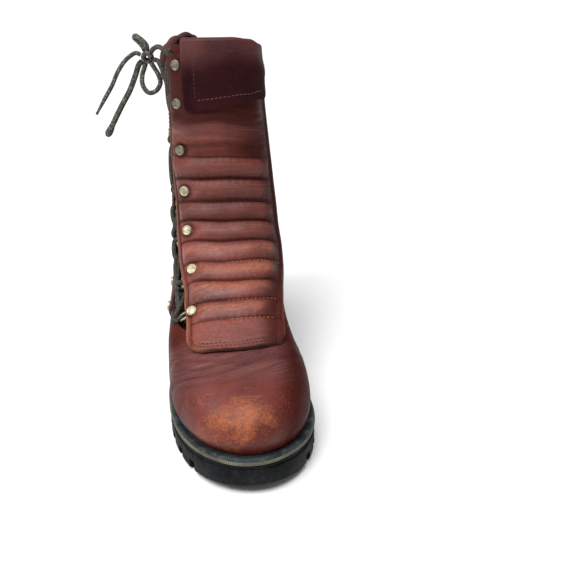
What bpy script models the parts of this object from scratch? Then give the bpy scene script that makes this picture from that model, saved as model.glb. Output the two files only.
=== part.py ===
"""Right-foot leather boot that laces on its outer side, with a quilted front panel.

Toe towards -Y, outer (lateral) side towards -X, up is +Z.
Sizes below are millimetres and become metres when a mesh is made.
"""
import math
from collections import namedtuple

import bmesh
import bpy
import numpy as np

for old in list(bpy.data.objects):
    bpy.data.objects.remove(old, do_unlink=True)

MM = 0.001

# Leather wall, gaps and layers
WALL = 2.2
GAP = 0.3
LAYER = 0.6
VAMP_STEP = 1.2
VAMP_TOP = 5.1
SLOT_BOTTOM = 3.95

# Sole
SOLE_EDGE = 6.8
WELT_HEIGHT = 4.3
HEEL_TOP = 20.0
HEEL_BREAST = 74.0

# Front panel
PANEL_BOTTOM = 4.158
PANEL_THIN = 2.6
PANEL_PAD = 2.2
PANEL_OVERHANG = 6.0
PANEL_CORNER = 17.0
PANEL_BORDER = 20.0
QUILT_FIRST = 31.2
QUILT_PITCH = 16.7
QUILT_COUNT = 8

# Lacing
LACE_RADIUS = 1.8
RING_WIRE = 1.0
RING_REACH = 12.0
RING_HALF = 4.6
RING_LOWEST = 2.8
RIVET_INSIDE = 9.5
LOWEST_RIVET = (4.76, 2, -4.8)
RIVET_RADIUS = 3.9
RIVET_HEIGHT = 1.7
PANEL_ROWS = (4.9, 5.87, 7.08, 8.3, 9.3, 10.15, 10.72)
STAY_FIRST = 8.0
STAY_TOP = 10.15
LACE_OUT = 3.0
KNOT = np.array((-52.8, 82.0, 229.0))

# One row per section of the last, from the feather line at the welt to the rim of the shaft.
# front/back: ends of the section; fore, mid, rear: half widths; *_round: length of the rounded ends;
# square: how square the front is;
# dip, dip_at: how far the section sags below its chord and where; arch, arch_at: inner waist hollow;
# swing: inward turn of the front; lean: sideways shift; lace_y, gap: lace slot; inner_y: panel's inner edge
Section = namedtuple(
    "Section",
    "front_y front_z back_y back_z fore mid rear front_round square back_round dip dip_at arch arch_at swing "
    "lean lace_y gap inner_y")
SECTIONS = (
    Section(-144.5, 26, 143.5, 37, 42.0, 33.0, 34.5, 74, 2.1, 40, 9.0, .68, 8, .48, 8, 1.1, -122, 28, -118),
    Section(-147.5, 37.5, 145.5, 45.5, 45, 36, 36.5, 70, 2.15, 40, 7, .68, 8, .49, 7, 0.6, -123, 34, -120),
    Section(-140, 49, 146.5, 55, 45.0, 37.0, 37.0, 72, 2.15, 40, 4.5, .66, 7, .53, 6, 0.6, -118, 44, -115),
    Section(-123, 57.5, 145, 64, 44.0, 38.0, 37.0, 78, 2.15, 40, 2.5, .62, 6.5, .62, 4, 0.6, -106, 56, -104),
    Section(-96, 63, 142.5, 74.5, 42.5, 39.0, 36.5, 84, 2.15, 39, 1.0, .60, 6, .66, 3, 1.1, -70, 54, -69),
    Section(-63, 72, 139.5, 86, 41.0, 39.0, 35.5, 82, 2.2, 38, 0.5, .55, 4.5, .62, 2, 1.6, -37, 57, -31),
    Section(-33, 86.5, 136.5, 99.5, 40.5, 39.0, 35.0, 72, 2.3, 38, 0, .50, 2, .55, 1, 1.6, -8, 48, 5),
    Section(-5, 106.5, 134, 117, 40.0, 39.0, 34.5, 58, 2.5, 38, 0, .50, 0, .50, 0, 1.1, 14, 40, 23),
    Section(11, 129.5, 132, 138, 38.5, 38.5, 34.0, 49, 2.6, 38, 0, .50, 0, .50, 0, 0.6, 27, 36, 34),
    Section(19, 158, 132, 163, 36.4, 37.0, 34.0, 45, 2.7, 40, 0, .50, 0, .50, 0, -0.8, 35, 34, 42),
    Section(23, 196, 133, 195, 34.0, 35.0, 33.0, 44, 2.7, 42, 0, .50, 0, .50, 0, -2.2, 40, 34, 47),
    Section(27, 243, 135, 227, 32.0, 33.5, 32.0, 44, 2.7, 42, -3.5, .46, 0, .50, 0, -3.4, 43, 34, 50),
)
RIM = float(len(SECTIONS) - 1)
# Rise of the rim above the last section round the boot: outer quarter's ear, low inner collar
RIM_PLACES = (0, .12, .22, .32, .5, .75, 1.0, 2.0, 3.3, 3.6, 3.8, 4.0, 4.2, 4.5, 4.8, 5.0)
RIM_RISES = (1, 3, 8, 9.5, 5, -2, -8, 0, 0, -1.5, -4.5, -9, -13, -8, -2, 1)
TABLE = np.array(SECTIONS, dtype=float)

# Underside of the outsole along the boot: flat tread, toe spring, arch, heel seat
TREAD_Y = (-153, -136, -119, -100, 8, 10, 40, 71, 165)
TREAD_Z = (7.0, 3.0, .8, 0, 0, 7.5, 12.5, HEEL_TOP + GAP, HEEL_TOP + GAP)


def material(name, colour, roughness, metallic=0.0):
    mat = bpy.data.materials.new(name)
    mat.use_nodes = True
    shader = mat.node_tree.nodes["Principled BSDF"]
    shader.inputs["Base Color"].default_value = (*colour, 1.0)
    shader.inputs["Roughness"].default_value = roughness
    shader.inputs["Metallic"].default_value = metallic
    return mat


LEATHER = material("oxblood leather", (.115, .035, .027), .42)
PADDED = material("padded leather", (.135, .042, .031), .38)
LINING = material("dark lining leather", (.045, .022, .018), .6)
RUBBER = material("black rubber", (.016, .018, .018), .7)
WELT_RUBBER = material("grey welt rubber", (.055, .055, .045), .7)
BOARD = material("insole board", (.16, .11, .07), .8)
BRASS = material("aged brass", (.42, .36, .22), .38, 1.0)
CORD = material("dark lace cord", (.03, .027, .022), .85)


def section_at(t):
    """Section sizes at height t by a cubic through the table's rows."""
    t = min(max(t, 0.0), RIM)
    k = min(int(t), len(SECTIONS) - 2)
    u = t - k
    last = len(SECTIONS) - 1
    p0, p1, p2, p3 = (TABLE[min(max(k + j, 0), last)] for j in (-1, 0, 1, 2))
    m1 = (p2 - p0) / 2 if k > 0 else p2 - p1
    m2 = (p3 - p1) / 2 if k < last - 1 else p2 - p1
    row = ((2 * u**3 - 3 * u**2 + 1) * p1 + (u**3 - 2 * u**2 + u) * m1
           + (3 * u**2 - 2 * u**3) * p2 + (u**3 - u**2) * m2)
    return Section(*row)


def ease(value):
    value = np.clip(value, 0.0, 1.0)
    return value * value * (3 - 2 * value)


def half_width(sec, c):
    width = sec.rear + (sec.mid - sec.rear) * ease((c - .12) / .30)
    return width + (sec.fore - sec.mid) * ease((c - .42) / .30)


def section_line(sec, c, side, margin=0.0):
    """Points of a section at fractions c from back to front; side -1 outer, +1 inner."""
    chord = sec.back_y - sec.front_y
    length = chord + 2 * margin
    along = c * length
    y = sec.back_y + margin - along
    c_last = np.clip((sec.back_y - y) / chord, 0.0, 1.0)
    back = np.clip(1 - along / (sec.back_round + margin), 0.0, 1.0)
    front = np.clip(1 - (length - along) / (sec.front_round + margin), 0.0, 1.0)
    rounding = (1 - back**2.2) ** (1 / 2.2) * (1 - front**sec.square) ** (1 / sec.square)
    width = half_width(sec, c_last) + margin
    if side > 0:
        width = width - sec.arch * np.exp(-(((c_last - sec.arch_at) / .19) ** 2))
    centre = sec.lean + sec.swing * ease((c_last - .5) / .5)
    sag = sec.dip * np.sin(math.pi * c_last ** (math.log(.5) / math.log(sec.dip_at)))
    z = sec.back_z + (sec.front_z - sec.back_z) * c_last - sag
    return np.stack([centre + side * width * rounding, y, z], axis=-1)


ROW_STEPS = 16
STEPS = 40
FINE = 0.5 - 0.5 * np.cos(np.linspace(0, math.pi, 161))


def section_ring(t):
    """Closed ring of the skin split at the back, both slot edges, the front and the panel's inner edge."""
    sec = section_at(t)
    outer = section_line(sec, FINE, -1)
    inner = section_line(sec, FINE[::-1], 1)
    line = np.concatenate([outer, inner[1:]])
    arc = np.concatenate([[0], np.cumsum(np.linalg.norm(np.diff(line, axis=0), axis=1))])
    chord = sec.back_y - sec.front_y
    count = len(FINE)

    def arc_outer(y):
        return np.interp((sec.back_y - y) / chord, FINE, arc[:count])

    inner_arc = np.interp((sec.back_y - sec.inner_y) / chord, FINE, arc[count - 1:][::-1])
    marks = [0, arc_outer(sec.lace_y + sec.gap), arc_outer(sec.lace_y), arc[count - 1], inner_arc, arc[-1]]
    stops = np.concatenate([np.linspace(a, b, STEPS, endpoint=False) for a, b in zip(marks, marks[1:])])
    return np.stack([np.interp(stops, arc, line[:, k]) for k in range(3)], axis=-1)


def vamp_layer(t, a):
    """Vamp leather lapped over the shaft: a step at the quarters, running out under the front panel."""
    quarter = 1 - ease((a - .85) / .15) * ease((4.15 - a) / .15)
    return VAMP_STEP * (quarter * (t < VAMP_TOP) + (1 - quarter) * (1 - ease((t - 3.0) / 1.6)))


def make_skin():
    rows = np.linspace(0, RIM, int(RIM) * ROW_STEPS + 1)
    grid = np.array([section_ring(t) for t in rows])
    for turn in range(2):
        around = np.roll(grid, -1, axis=1) - np.roll(grid, 1, axis=1)
        upward = np.gradient(grid, axis=0)
        normal = np.cross(upward, around)
        normal /= np.linalg.norm(normal, axis=2, keepdims=True)
        outward = grid - grid.mean(axis=1, keepdims=True)
        outward[..., 2] = 0
        normal *= np.sign((normal * outward).sum(axis=(1, 2)))[:, None, None]
        if turn == 0:
            grid = grid + normal * vamp_layer(rows[:, None], np.arange(grid.shape[1]) / STEPS)[..., None]
    return rows, grid, normal


SKIN_ROWS, SKIN, SKIN_NORMAL = make_skin()
COLUMNS = SKIN.shape[1]


def on_skin(t, a, out=0.0):
    """Point at height t and place a around the ring (0 back, 1 to 2 slot, 3 front, 4 panel's inner edge)."""
    t, a, out = np.broadcast_arrays(*(np.asarray(v, dtype=float) for v in (t, a, out)))
    row = np.clip(t, 0, RIM) * ROW_STEPS
    col = np.mod(a, 5) * STEPS
    r0 = np.minimum(row.astype(int), len(SKIN_ROWS) - 2)
    c0 = np.floor(col).astype(int) % COLUMNS
    fr = (row - r0)[..., None]
    fc = (col - np.floor(col))[..., None]
    c1 = (c0 + 1) % COLUMNS

    def mix(field):
        low = field[r0, c0] * (1 - fc) + field[r0, c1] * fc
        high = field[r0 + 1, c0] * (1 - fc) + field[r0 + 1, c1] * fc
        return low * (1 - fr) + high * fr

    normal = mix(SKIN_NORMAL)
    normal = normal / np.linalg.norm(normal, axis=-1, keepdims=True)
    return mix(SKIN) + normal * out[..., None]


def skin_frame(t, a):
    """Across, up and outward unit directions at a place on the skin."""
    across = on_skin(t, a + .02) - on_skin(t, a - .02)
    across = across / np.linalg.norm(across)
    normal = on_skin(t, a, 1.0) - on_skin(t, a)
    up = np.cross(normal, across)
    up = up / np.linalg.norm(up)
    if up[2] < 0:
        up = -up
    return across, up, normal


def around_scale(t, a):
    """Millimetres per unit of a."""
    return np.linalg.norm(on_skin(t, a + .05) - on_skin(t, a - .05)) / .1


def height_scale(t, a):
    """Millimetres per unit of t."""
    return np.linalg.norm(on_skin(min(t + .1, RIM), a) - on_skin(t - .1, a)) / (min(t + .1, RIM) - t + .1)


STRIDES = 4


def step_from_edge(t, edge, across, along=0.0):
    """Place reached from a slot edge (1 rear, 2 panel) by going square into the slot and along the edge."""
    into = -1 if edge == 2 else 1
    side = into if across > 0 else -into
    run = (on_skin(t, edge + side * .1) - on_skin(t, edge)) / (side * .1)
    rise = (on_skin(t + .08, edge) - on_skin(t - .08, edge)) / .16
    heading = rise / np.linalg.norm(rise)
    square = run - heading * run.dot(heading)
    square *= into / np.linalg.norm(square)
    goal = (square * across + heading * along) / STRIDES
    a = float(edge)
    for stride in range(STRIDES):
        run = (on_skin(t, a + side * .05) - on_skin(t, a)) / (side * .05)
        rise = (on_skin(t + .08, a) - on_skin(t - .08, a)) / .16
        da, dt = np.linalg.lstsq(np.stack([run, rise], axis=1), goal, rcond=None)[0]
        t, a = t + dt, a + da
    return t, a


def rim_rise(a):
    """Height of the rim's own line above the last section at place a."""
    a = a % 5
    k = min(int(np.searchsorted(RIM_PLACES, a, side="right")) - 1, len(RIM_PLACES) - 2)
    share = ease((a - RIM_PLACES[k]) / (RIM_PLACES[k + 1] - RIM_PLACES[k]))
    return float(RIM_RISES[k] + (RIM_RISES[k + 1] - RIM_RISES[k]) * share)


def at_rim(a, height, out):
    """Point above or below the rim's line at place a, pushed outward by out."""
    height = height + rim_rise(a)
    if height <= 0:
        return on_skin(RIM + height / height_scale(RIM - .3, a), a, out)
    across, up, normal = skin_frame(RIM, a)
    return on_skin(RIM, a, out) + up * height


def mesh_object(name, points, faces, mat):
    mesh = bpy.data.meshes.new(name)
    form = bmesh.new()
    verts = [form.verts.new([float(v) * MM for v in p]) for p in points]
    for face in faces:
        form.faces.new([verts[k] for k in face])
    bmesh.ops.recalc_face_normals(form, faces=form.faces)
    form.to_mesh(mesh)
    form.free()
    mesh.materials.append(mat)
    obj = bpy.data.objects.new(name, mesh)
    bpy.context.scene.collection.objects.link(obj)
    return obj


def quads(rows, cols, start=0, wrap=False):
    """Index quads of a grid stored row by row."""
    faces = []
    for r in range(rows - 1):
        for c in range(cols if wrap else cols - 1):
            d = (c + 1) % cols
            faces.append((start + r * cols + c, start + r * cols + d,
                          start + (r + 1) * cols + d, start + (r + 1) * cols + c))
    return faces


def slab(name, outside, inside, mat):
    """Closed sheet between two grids of the same size."""
    rows, cols = outside.shape[:2]
    count = rows * cols
    faces = quads(rows, cols) + [face[::-1] for face in quads(rows, cols, count)]
    border = ([c for c in range(cols)]
              + [r * cols + cols - 1 for r in range(1, rows)]
              + [(rows - 1) * cols + c for c in range(cols - 2, -1, -1)]
              + [r * cols for r in range(rows - 2, 0, -1)])
    for a, b in zip(border, border[1:] + border[:1]):
        faces.append((b, a, a + count, b + count))
    points = np.concatenate([outside.reshape(-1, 3), inside.reshape(-1, 3)])
    return mesh_object(name, points, faces, mat)


def sweep(name, loops, mat, closed=False):
    """Solid through a row of closed cross-sections."""
    count, size = loops.shape[:2]
    faces = quads(count, size, wrap=True)
    if closed:
        last = (count - 1) * size
        for c in range(size):
            d = (c + 1) % size
            faces.append((last + c, last + d, d, c))
    else:
        faces.append(tuple(range(size))[::-1])
        faces.append(tuple((count - 1) * size + c for c in range(size)))
    return mesh_object(name, loops.reshape(-1, 3), faces, mat)


def smooth_path(points, per_span, closed=False):
    """Catmull-Rom curve through the route's own points."""
    pts = np.array(points, dtype=float)
    count = len(pts)
    out = []
    spans = count if closed else count - 1
    for k in range(spans):
        if closed:
            p0, p1, p2, p3 = (pts[(k + j) % count] for j in (-1, 0, 1, 2))
        else:
            p0, p1, p2, p3 = (pts[min(max(k + j, 0), count - 1)] for j in (-1, 0, 1, 2))
        for u in np.linspace(0, 1, per_span, endpoint=False):
            out.append(.5 * (2 * p1 + (p2 - p0) * u + (2 * p0 - 5 * p1 + 4 * p2 - p3) * u**2
                             + (3 * p1 - p0 - 3 * p2 + p3) * u**3))
    if not closed:
        out.append(pts[-1])
    return np.array(out)


def tube_loops(path, radius, sides, closed=False):
    """Round cross-sections carried along a path without twisting."""
    tangents = (np.roll(path, -1, axis=0) - np.roll(path, 1, axis=0)) if closed else np.gradient(path, axis=0)
    tangents /= np.linalg.norm(tangents, axis=1, keepdims=True)
    side = np.cross(tangents[0], (0.0, 0.0, 1.0))
    if np.linalg.norm(side) < .1:
        side = np.cross(tangents[0], (1.0, 0.0, 0.0))
    side /= np.linalg.norm(side)
    loops = []
    for point, along in zip(path, tangents):
        side = side - along * side.dot(along)
        side /= np.linalg.norm(side)
        other = np.cross(along, side)
        turn = np.linspace(0, 2 * math.pi, sides, endpoint=False)
        loops.append(point + radius * (np.cos(turn)[:, None] * side + np.sin(turn)[:, None] * other))
    return np.array(loops)


FEATHER = section_at(0)
BACK_END = FEATHER.back_y + SOLE_EDGE
FRONT_END = FEATHER.front_y - SOLE_EDGE


def sole_outline(margin, fractions):
    """Closed outline: back point, outer side, front point, inner side."""
    outer = section_line(FEATHER, fractions, -1, margin)
    inner = section_line(FEATHER, fractions, 1, margin)
    return np.concatenate([outer, inner[-2:0:-1]])


def stack(name, levels, fractions, mat):
    """Solid of outlines one above the other; caps are strips from side to side."""
    loops = []
    for margin, height in levels:
        line = sole_outline(margin, fractions)
        line[:, 2] = height(line)
        loops.append(line)
    size = len(loops[0])
    faces = quads(len(loops), size, wrap=True)
    ends = len(fractions) - 1
    for start in (0, (len(loops) - 1) * size):
        for k in range(ends):
            corners = [k, k + 1, (size - k - 1) % size, (size - k) % size]
            faces.append([start + v for v in dict.fromkeys(corners)])
    return mesh_object(name, np.concatenate(loops), faces, mat)


def feather_height(line):
    """Height of the feather line below each point of an outline."""
    c = np.clip((FEATHER.back_y - line[:, 1]) / (FEATHER.back_y - FEATHER.front_y), 0, 1)
    sag = FEATHER.dip * np.sin(math.pi * c ** (math.log(.5) / math.log(FEATHER.dip_at)))
    return FEATHER.back_z + (FEATHER.front_z - FEATHER.back_z) * c - sag


def outsole_top(line):
    return feather_height(line) - WELT_HEIGHT - LAYER


def tread_height(line):
    return np.interp(line[:, 1], TREAD_Y, TREAD_Z)


def between(share):
    return lambda line: tread_height(line) * (1 - share) + outsole_top(line) * share


def fractions_with(count, *stops):
    """Fractions from back to front, close together at the rounded ends, passing the given y places."""
    even = 0.5 - 0.5 * np.cos(np.linspace(0, math.pi, count))
    extra = [(BACK_END - y) / (BACK_END - FRONT_END) for y in stops]
    keep = [c for c in even if all(abs(c - e) > .012 for e in extra)]
    return np.array(sorted(keep + extra))


def boxes(name, frames, size):
    """Cutter of separate boxes, one per frame (place, along, inward); hidden from the finished part."""
    wide, deep, tall = size
    points, faces = [], []
    for place, along, inward in frames:
        start = len(points)
        for z in (-2.0, tall):
            for s, d in ((-1, -4.0), (1, -4.0), (1, deep), (-1, deep)):
                points.append(place + along * (s * wide / 2) + inward * d + np.array((0, 0, z)))
        faces += [[start + v for v in face] for face in
                  ((0, 3, 2, 1), (4, 5, 6, 7), (0, 1, 5, 4), (1, 2, 6, 5), (2, 3, 7, 6), (3, 0, 4, 7))]
    cutter = mesh_object(name, points, faces, RUBBER)
    cutter.hide_render = True
    cutter.display_type = "WIRE"
    return cutter


def cut(obj, cutter):
    mod = obj.modifiers.new("notches", "BOOLEAN")
    mod.operation = "DIFFERENCE"
    mod.solver = "EXACT"
    mod.object = cutter


def notch_frames(places, turn):
    """Frames on both edges of the tread at given y places, slanted by turn."""
    frames = []
    for y in places:
        c = np.array([(BACK_END - y) / (BACK_END - FRONT_END)])
        for side in (-1, 1):
            place = section_line(FEATHER, c, side, SOLE_EDGE)[0]
            ahead = section_line(FEATHER, c + .01, side, SOLE_EDGE)[0]
            along = ahead - place
            along[2] = 0
            along /= np.linalg.norm(along)
            inward = np.array((-along[1], along[0], 0.0))
            inward *= -side * np.sign(inward[0])
            slant = turn * (1 if y > -100 else 0)
            inward = inward * math.cos(slant) + along * math.sin(slant)
            along = np.array((inward[1], -inward[0], 0.0))
            place[2] = 0.0 if y > HEEL_BREAST else tread_height(place[None])[0]
            frames.append((place, along, inward))
    return frames


# Sole
sole_stops = fractions_with(28, 71.0, 10.0, 8.0)
outsole = stack(
    "outsole",
    [(SOLE_EDGE - 2.0, tread_height), (SOLE_EDGE, between(.14)), (SOLE_EDGE - .2, between(.80)),
     (SOLE_EDGE - 1.2, between(.87)), (SOLE_EDGE - .4, outsole_top)],
    sole_stops, RUBBER)
cut(outsole, boxes("outsole_notches", notch_frames((-6, -23, -40, -57, -74, -91, -108, -125), .18),
                   (6.5, 17.0, 8.0)))


def heel_outline(margin, bottom):
    """Heel block outline ending at the breast, which slopes forward towards the ground."""
    breast = HEEL_BREAST - (4.0 if bottom else 0.0)
    reach = (BACK_END - breast) / (BACK_END - FRONT_END)
    c = reach * (1 - np.cos(np.linspace(0, math.pi / 2, 12)))
    outer = section_line(FEATHER, c, -1, margin)
    inner = section_line(FEATHER, c, 1, margin)
    return np.concatenate([outer, inner[:0:-1]])


HEEL_LEVELS = ((SOLE_EDGE - 2.4, 0.0, True), (SOLE_EDGE - .8, 3.0, True), (SOLE_EDGE - .6, HEEL_TOP, False))
heel_loops = []
for margin, z, low in HEEL_LEVELS:
    loop = heel_outline(margin, low)
    loop[:, 2] = z
    heel_loops.append(loop)
heel = sweep("heel", np.array(heel_loops), RUBBER)
cut(heel, boxes("heel_notches", notch_frames((132, 112, 92), 0.0), (6.0, 15.0, 8.0)))

WELT_SECTION = ((-7.0, -WELT_HEIGHT), (SOLE_EDGE - .8, -WELT_HEIGHT), (SOLE_EDGE, -2.4),
                (SOLE_EDGE - .5, -.1), (SOLE_EDGE - 1.7, .9), (SOLE_EDGE - 2.9, .3),
                (SOLE_EDGE - 3.4, -.6), (-7.0, -GAP))
welt_loops = []
for margin, rise in WELT_SECTION:
    line = sole_outline(margin, sole_stops)
    line[:, 2] = feather_height(line) + rise
    welt_loops.append(line)
sweep("welt", np.swapaxes(np.array(welt_loops), 0, 1), WELT_RUBBER, closed=True)

stack("insole",
      [(-7.6, lambda line: outsole_top(line) + GAP), (-7.6, feather_height), (-3.0, feather_height),
       (-3.0, lambda line: feather_height(line) + 3.2)],
      fractions_with(24), BOARD)

# Upper: one wall on the last, open at the rim, the lace slot and underneath
upper_rows = (.04, .5, 1.0, 1.7, 2.5, 3.3, SLOT_BOTTOM, 4.07, 4.19, 4.3, 4.65, VAMP_TOP - .1,
              VAMP_TOP + .05, 5.6, 6.0, 6.4, 6.8, 7.2, 7.7, 8.2, 8.7, 9.3, 10.1, RIM)
REAR_PLACES = (0, .045, .09, .15, .22, .3, .4, .52, .63, .72, .81, .9)
BALL_PLACES = (.07, .14, .21, .29, .38, .48, .6, .7, .78, .85, .91, .955)
upper_places = np.concatenate([REAR_PLACES, np.linspace(1, 2, 4, endpoint=False),
                               np.linspace(2, 3, 8, endpoint=False), np.linspace(3, 4, 8, endpoint=False),
                               [4.0], 4 + np.array(BALL_PLACES)])
upper_grid = on_skin(np.array(upper_rows)[:, None], upper_places[None, :])
upper_grid[-1] = [at_rim(a, 0.0, 0.0) for a in upper_places]
upper_faces = []
for r, t in enumerate(upper_rows[:-1]):
    for c, a in enumerate(upper_places):
        d = (c + 1) % len(upper_places)
        n = len(upper_places)
        corners = (r * n + c, r * n + d, (r + 1) * n + d, (r + 1) * n + c)
        slot_end = 1.25 + .25 * (r - upper_rows.index(SLOT_BOTTOM))
        if t < SLOT_BOTTOM or not .99 < a < 1.99 or a > slot_end + .2:
            upper_faces.append(corners)
        elif a > slot_end - .05:
            upper_faces.append(corners[:3])
upper = mesh_object("upper", upper_grid.reshape(-1, 3), upper_faces, LEATHER)
form = bmesh.new()
form.from_mesh(upper.data)
bmesh.ops.delete(form, geom=[v for v in form.verts if not v.link_faces], context="VERTS")
front_face = min(form.faces, key=lambda f: f.calc_center_median().y)
if front_face.normal.y > 0:
    bmesh.ops.reverse_faces(form, faces=form.faces)
form.to_mesh(upper.data)
form.free()
wall = upper.modifiers.new("wall", "SOLIDIFY")
wall.thickness = WALL * MM
wall.offset = -1.0
wall.use_even_offset = True

# Gusset: folded leather behind the slot
gusset_t = np.linspace(SLOT_BOTTOM - .25, RIM - .3, 12)
gusset_a = np.array((.84, 1.0, 1.2, 1.38, 1.5, 1.62, 1.8, 2.0, 2.14))
gusset_dip = np.array((0, .4, 3.0, 5.5, 3.6, 5.5, 3.0, .4, 0)) + WALL + GAP + 1.0
gusset_out = on_skin(gusset_t[:, None], gusset_a[None, :], -gusset_dip[None, :])
gusset_in = on_skin(gusset_t[:, None], gusset_a[None, :], -gusset_dip[None, :] - 1.5)
slab("gusset", gusset_out, gusset_in, LINING)

# Front panel: rows are cuts of the skin square to the front profile
front_t = np.linspace(PANEL_BOTTOM, RIM, 400)
front_line = on_skin(front_t, 3.0)
front_arc = np.concatenate([[0], np.cumsum(np.linalg.norm(np.diff(front_line, axis=0), axis=1))])
PANEL_LENGTH = front_arc[-1]
front_heading = np.gradient(front_line, axis=0)
front_heading /= np.linalg.norm(front_heading, axis=1, keepdims=True)


def front_value(field, s):
    return np.array([np.interp(s, front_arc, field[:, k]) for k in range(3)])


def row_height(s, a):
    """Height t where the cut at distance s up the front profile crosses place a."""
    here = front_value(front_line, s)
    heading = front_value(front_heading, s)
    t_front = np.interp(s, front_arc, front_t)
    rows = np.linspace(max(t_front - 2.2, 0), min(t_front + 2.2, RIM), 90)
    level = (on_skin(rows, np.full(90, a)) - here) @ heading
    return float(np.interp(0.0, level, rows))


# Slant and bow of the panel's rows: shift up the profile at the hem, at each seam and at the rim
SHIFT_AT = (0, *(QUILT_FIRST + QUILT_PITCH * k for k in range(QUILT_COUNT + 1)), PANEL_LENGTH)
SHIFT_OUTER = (5, 2, 4, 7.5, 7, 6.3, 4.6, 1.9, 1.3, 1.0, -6)
SHIFT_MIDDLE = (3.0, .6, .6, 1.0, .8, 1.6, 1.2, -.6, 0, -.3, 0)
SHIFT_INNER = (9.0, 3.2, 4.4, 5.0, 4.5, 4.4, 1.8, -2.2, -3.3, -4.4, -9.5)


def row_place(s, share):
    """Distance up the profile of a panel row at a share of its width."""
    outer, middle, inner = (np.interp(s, SHIFT_AT, row) for row in (SHIFT_OUTER, SHIFT_MIDDLE, SHIFT_INNER))
    if share < .5:
        return s + middle + (outer - middle) * float(ease((.5 - share) / .38))
    return s + middle + (inner - middle) * float(ease((share - .5) / .38))


def quilt(s):
    """Padding of the quilted channels at distance s up the profile."""
    place = (s - QUILT_FIRST) / QUILT_PITCH
    if place <= 0 or place >= QUILT_COUNT:
        return .35 * PANEL_PAD
    return PANEL_PAD * abs(math.sin(math.pi * place)) ** .6


def slot_width(t, edge):
    """Distance from a place on one slot edge to the nearest place on the other."""
    heights = np.linspace(SLOT_BOTTOM, RIM, 300)
    return np.linalg.norm(on_skin(heights, 3.0 - edge) - on_skin(t, edge), axis=1).min()


def overhang(t, edge):
    """How far the panel or the lace stay reaches past its slot edge."""
    wide = ease((slot_width(t, edge) - 11) / 14)
    return PANEL_OVERHANG * wide * ease((t - (4.2 if edge == 2 else SLOT_BOTTOM)) / .6)


def panel_edges(s):
    """First and last place of a panel row, with rounded lower corners."""
    low = max(0.0, 1 - s / PANEL_CORNER)
    inset = PANEL_CORNER * (1 - math.sqrt(1 - low**2))
    t = row_height(row_place(s, 0.0), 2.0)
    first = step_from_edge(t, 2, overhang(t, 2))[1] + inset / around_scale(t, 2.3)
    return first, 4.0 - inset / around_scale(row_height(row_place(s, 1.0), 4.0), 3.7)


PANEL_REST = np.array((.13, .27, .41, .55, .69, .82, .93, 1.0))
PANEL_SIDE = np.array((0, 0, 0, .85, 1, 1, 1, 1, .9, .1, 0))
quilt_stops = QUILT_FIRST + QUILT_PITCH * np.arange(0, QUILT_COUNT + .01, 1 / 3)
panel_stops = np.concatenate([PANEL_CORNER * np.array((0, .12, .3, .55, .9)), [22.0], quilt_stops,
                              np.linspace(quilt_stops[-1], PANEL_LENGTH, 6)[1:]])
panel_out, panel_in = [], []
for s in panel_stops:
    first, last = panel_edges(s)
    shares = np.linspace(0, 1, 30)
    trial = first + (last - first) * shares
    line = on_skin([row_height(row_place(s, w), a) for w, a in zip(shares, trial)], trial)
    border = PANEL_BORDER / np.linalg.norm(np.diff(line, axis=0), axis=1).sum()
    across = np.concatenate([[0, border / 2, border], border + (1 - border) * PANEL_REST])
    places = first + (last - first) * across
    heights = np.array([row_height(row_place(s, w), a) for w, a in zip(across, places)])
    thick = PANEL_THIN + quilt(s) * PANEL_SIDE
    panel_out.append(on_skin(heights, places, LAYER + thick))
    panel_in.append(on_skin(heights, places, LAYER + .5 * PANEL_SIDE))
slab("front_panel", np.array(panel_out), np.array(panel_in), PADDED)

# Lace stay along the rear edge of the slot


STAY_THICK = 1.6


def stay_width(t):
    return 12.0 + 5.0 * float(ease((t - SLOT_BOTTOM) / 1.5))


def over_lap(t, a):
    """Extra height that lets the stay run down smoothly behind the vamp's step."""
    lap_end = np.clip((VAMP_TOP + .025 - t) * ROW_STEPS, 0, 1)
    return VAMP_STEP * np.maximum(0, 1 - ease((t - VAMP_TOP) / .7) - lap_end) * (1 - ease((a - .85) / .15))


stay_t = np.linspace(SLOT_BOTTOM + .02, RIM - .72, 18)
stay_out, stay_in = [], []
for t in stay_t:
    wide = stay_width(t)
    places = np.array([step_from_edge(t, 1, d) for d in (-wide, -wide / 2, 0.0, overhang(t, 1))])
    base = LAYER + over_lap(places[:, 0], places[:, 1])
    stay_out.append(on_skin(places[:, 0], places[:, 1], base + STAY_THICK))
    stay_in.append(on_skin(places[:, 0], places[:, 1], base))
slab("lace_stay", np.array(stay_out), np.array(stay_in), LEATHER)

# Padded collar rolled over the rim from the panel's inner edge round the back to the slot
COLLAR = ((LAYER, -29), (3.4, -28.6), (6.0, -24), (7.2, -16), (6.9, -8), (5.6, -1.5), (3.4, 2.4), (.2, 3.9),
          (-2.2, 3.2), (-3.0, .6), (LAYER, .5), (LAYER, -14))
collar_loops = []
collar_a = np.concatenate([[4.06, 4.09], 4 + np.array(BALL_PLACES[1:]), 5 + np.array(REAR_PLACES), [5.96]])
for k, a in enumerate(collar_a):
    slim = min(1.0, .45 + .3 * k, .45 + .3 * (len(collar_a) - 1 - k)) * (.6 + .4 * float(ease((a - 4.3) / .5)))
    rise = rim_rise(a)
    collar_loops.append([at_rim(a, h + min(h, 0) / 29 * rise, LAYER + (o - LAYER) * slim if o > LAYER else o)
                         for o, h in COLLAR])
sweep("collar_pad", np.array(collar_loops), PADDED)

# Flap folded over the front rim and hanging on the panel
FLAP_THICK = 1.9
FLAP_OUT = LAYER + PANEL_THIN + .35 * PANEL_PAD + LAYER
FLAP_DROP = 43.0
HEM_PLACES = (2.44, 3.0, 3.5, 3.86)
HEM_DROPS = (45.5, 42.5, 39.0, 33.5)


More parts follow.
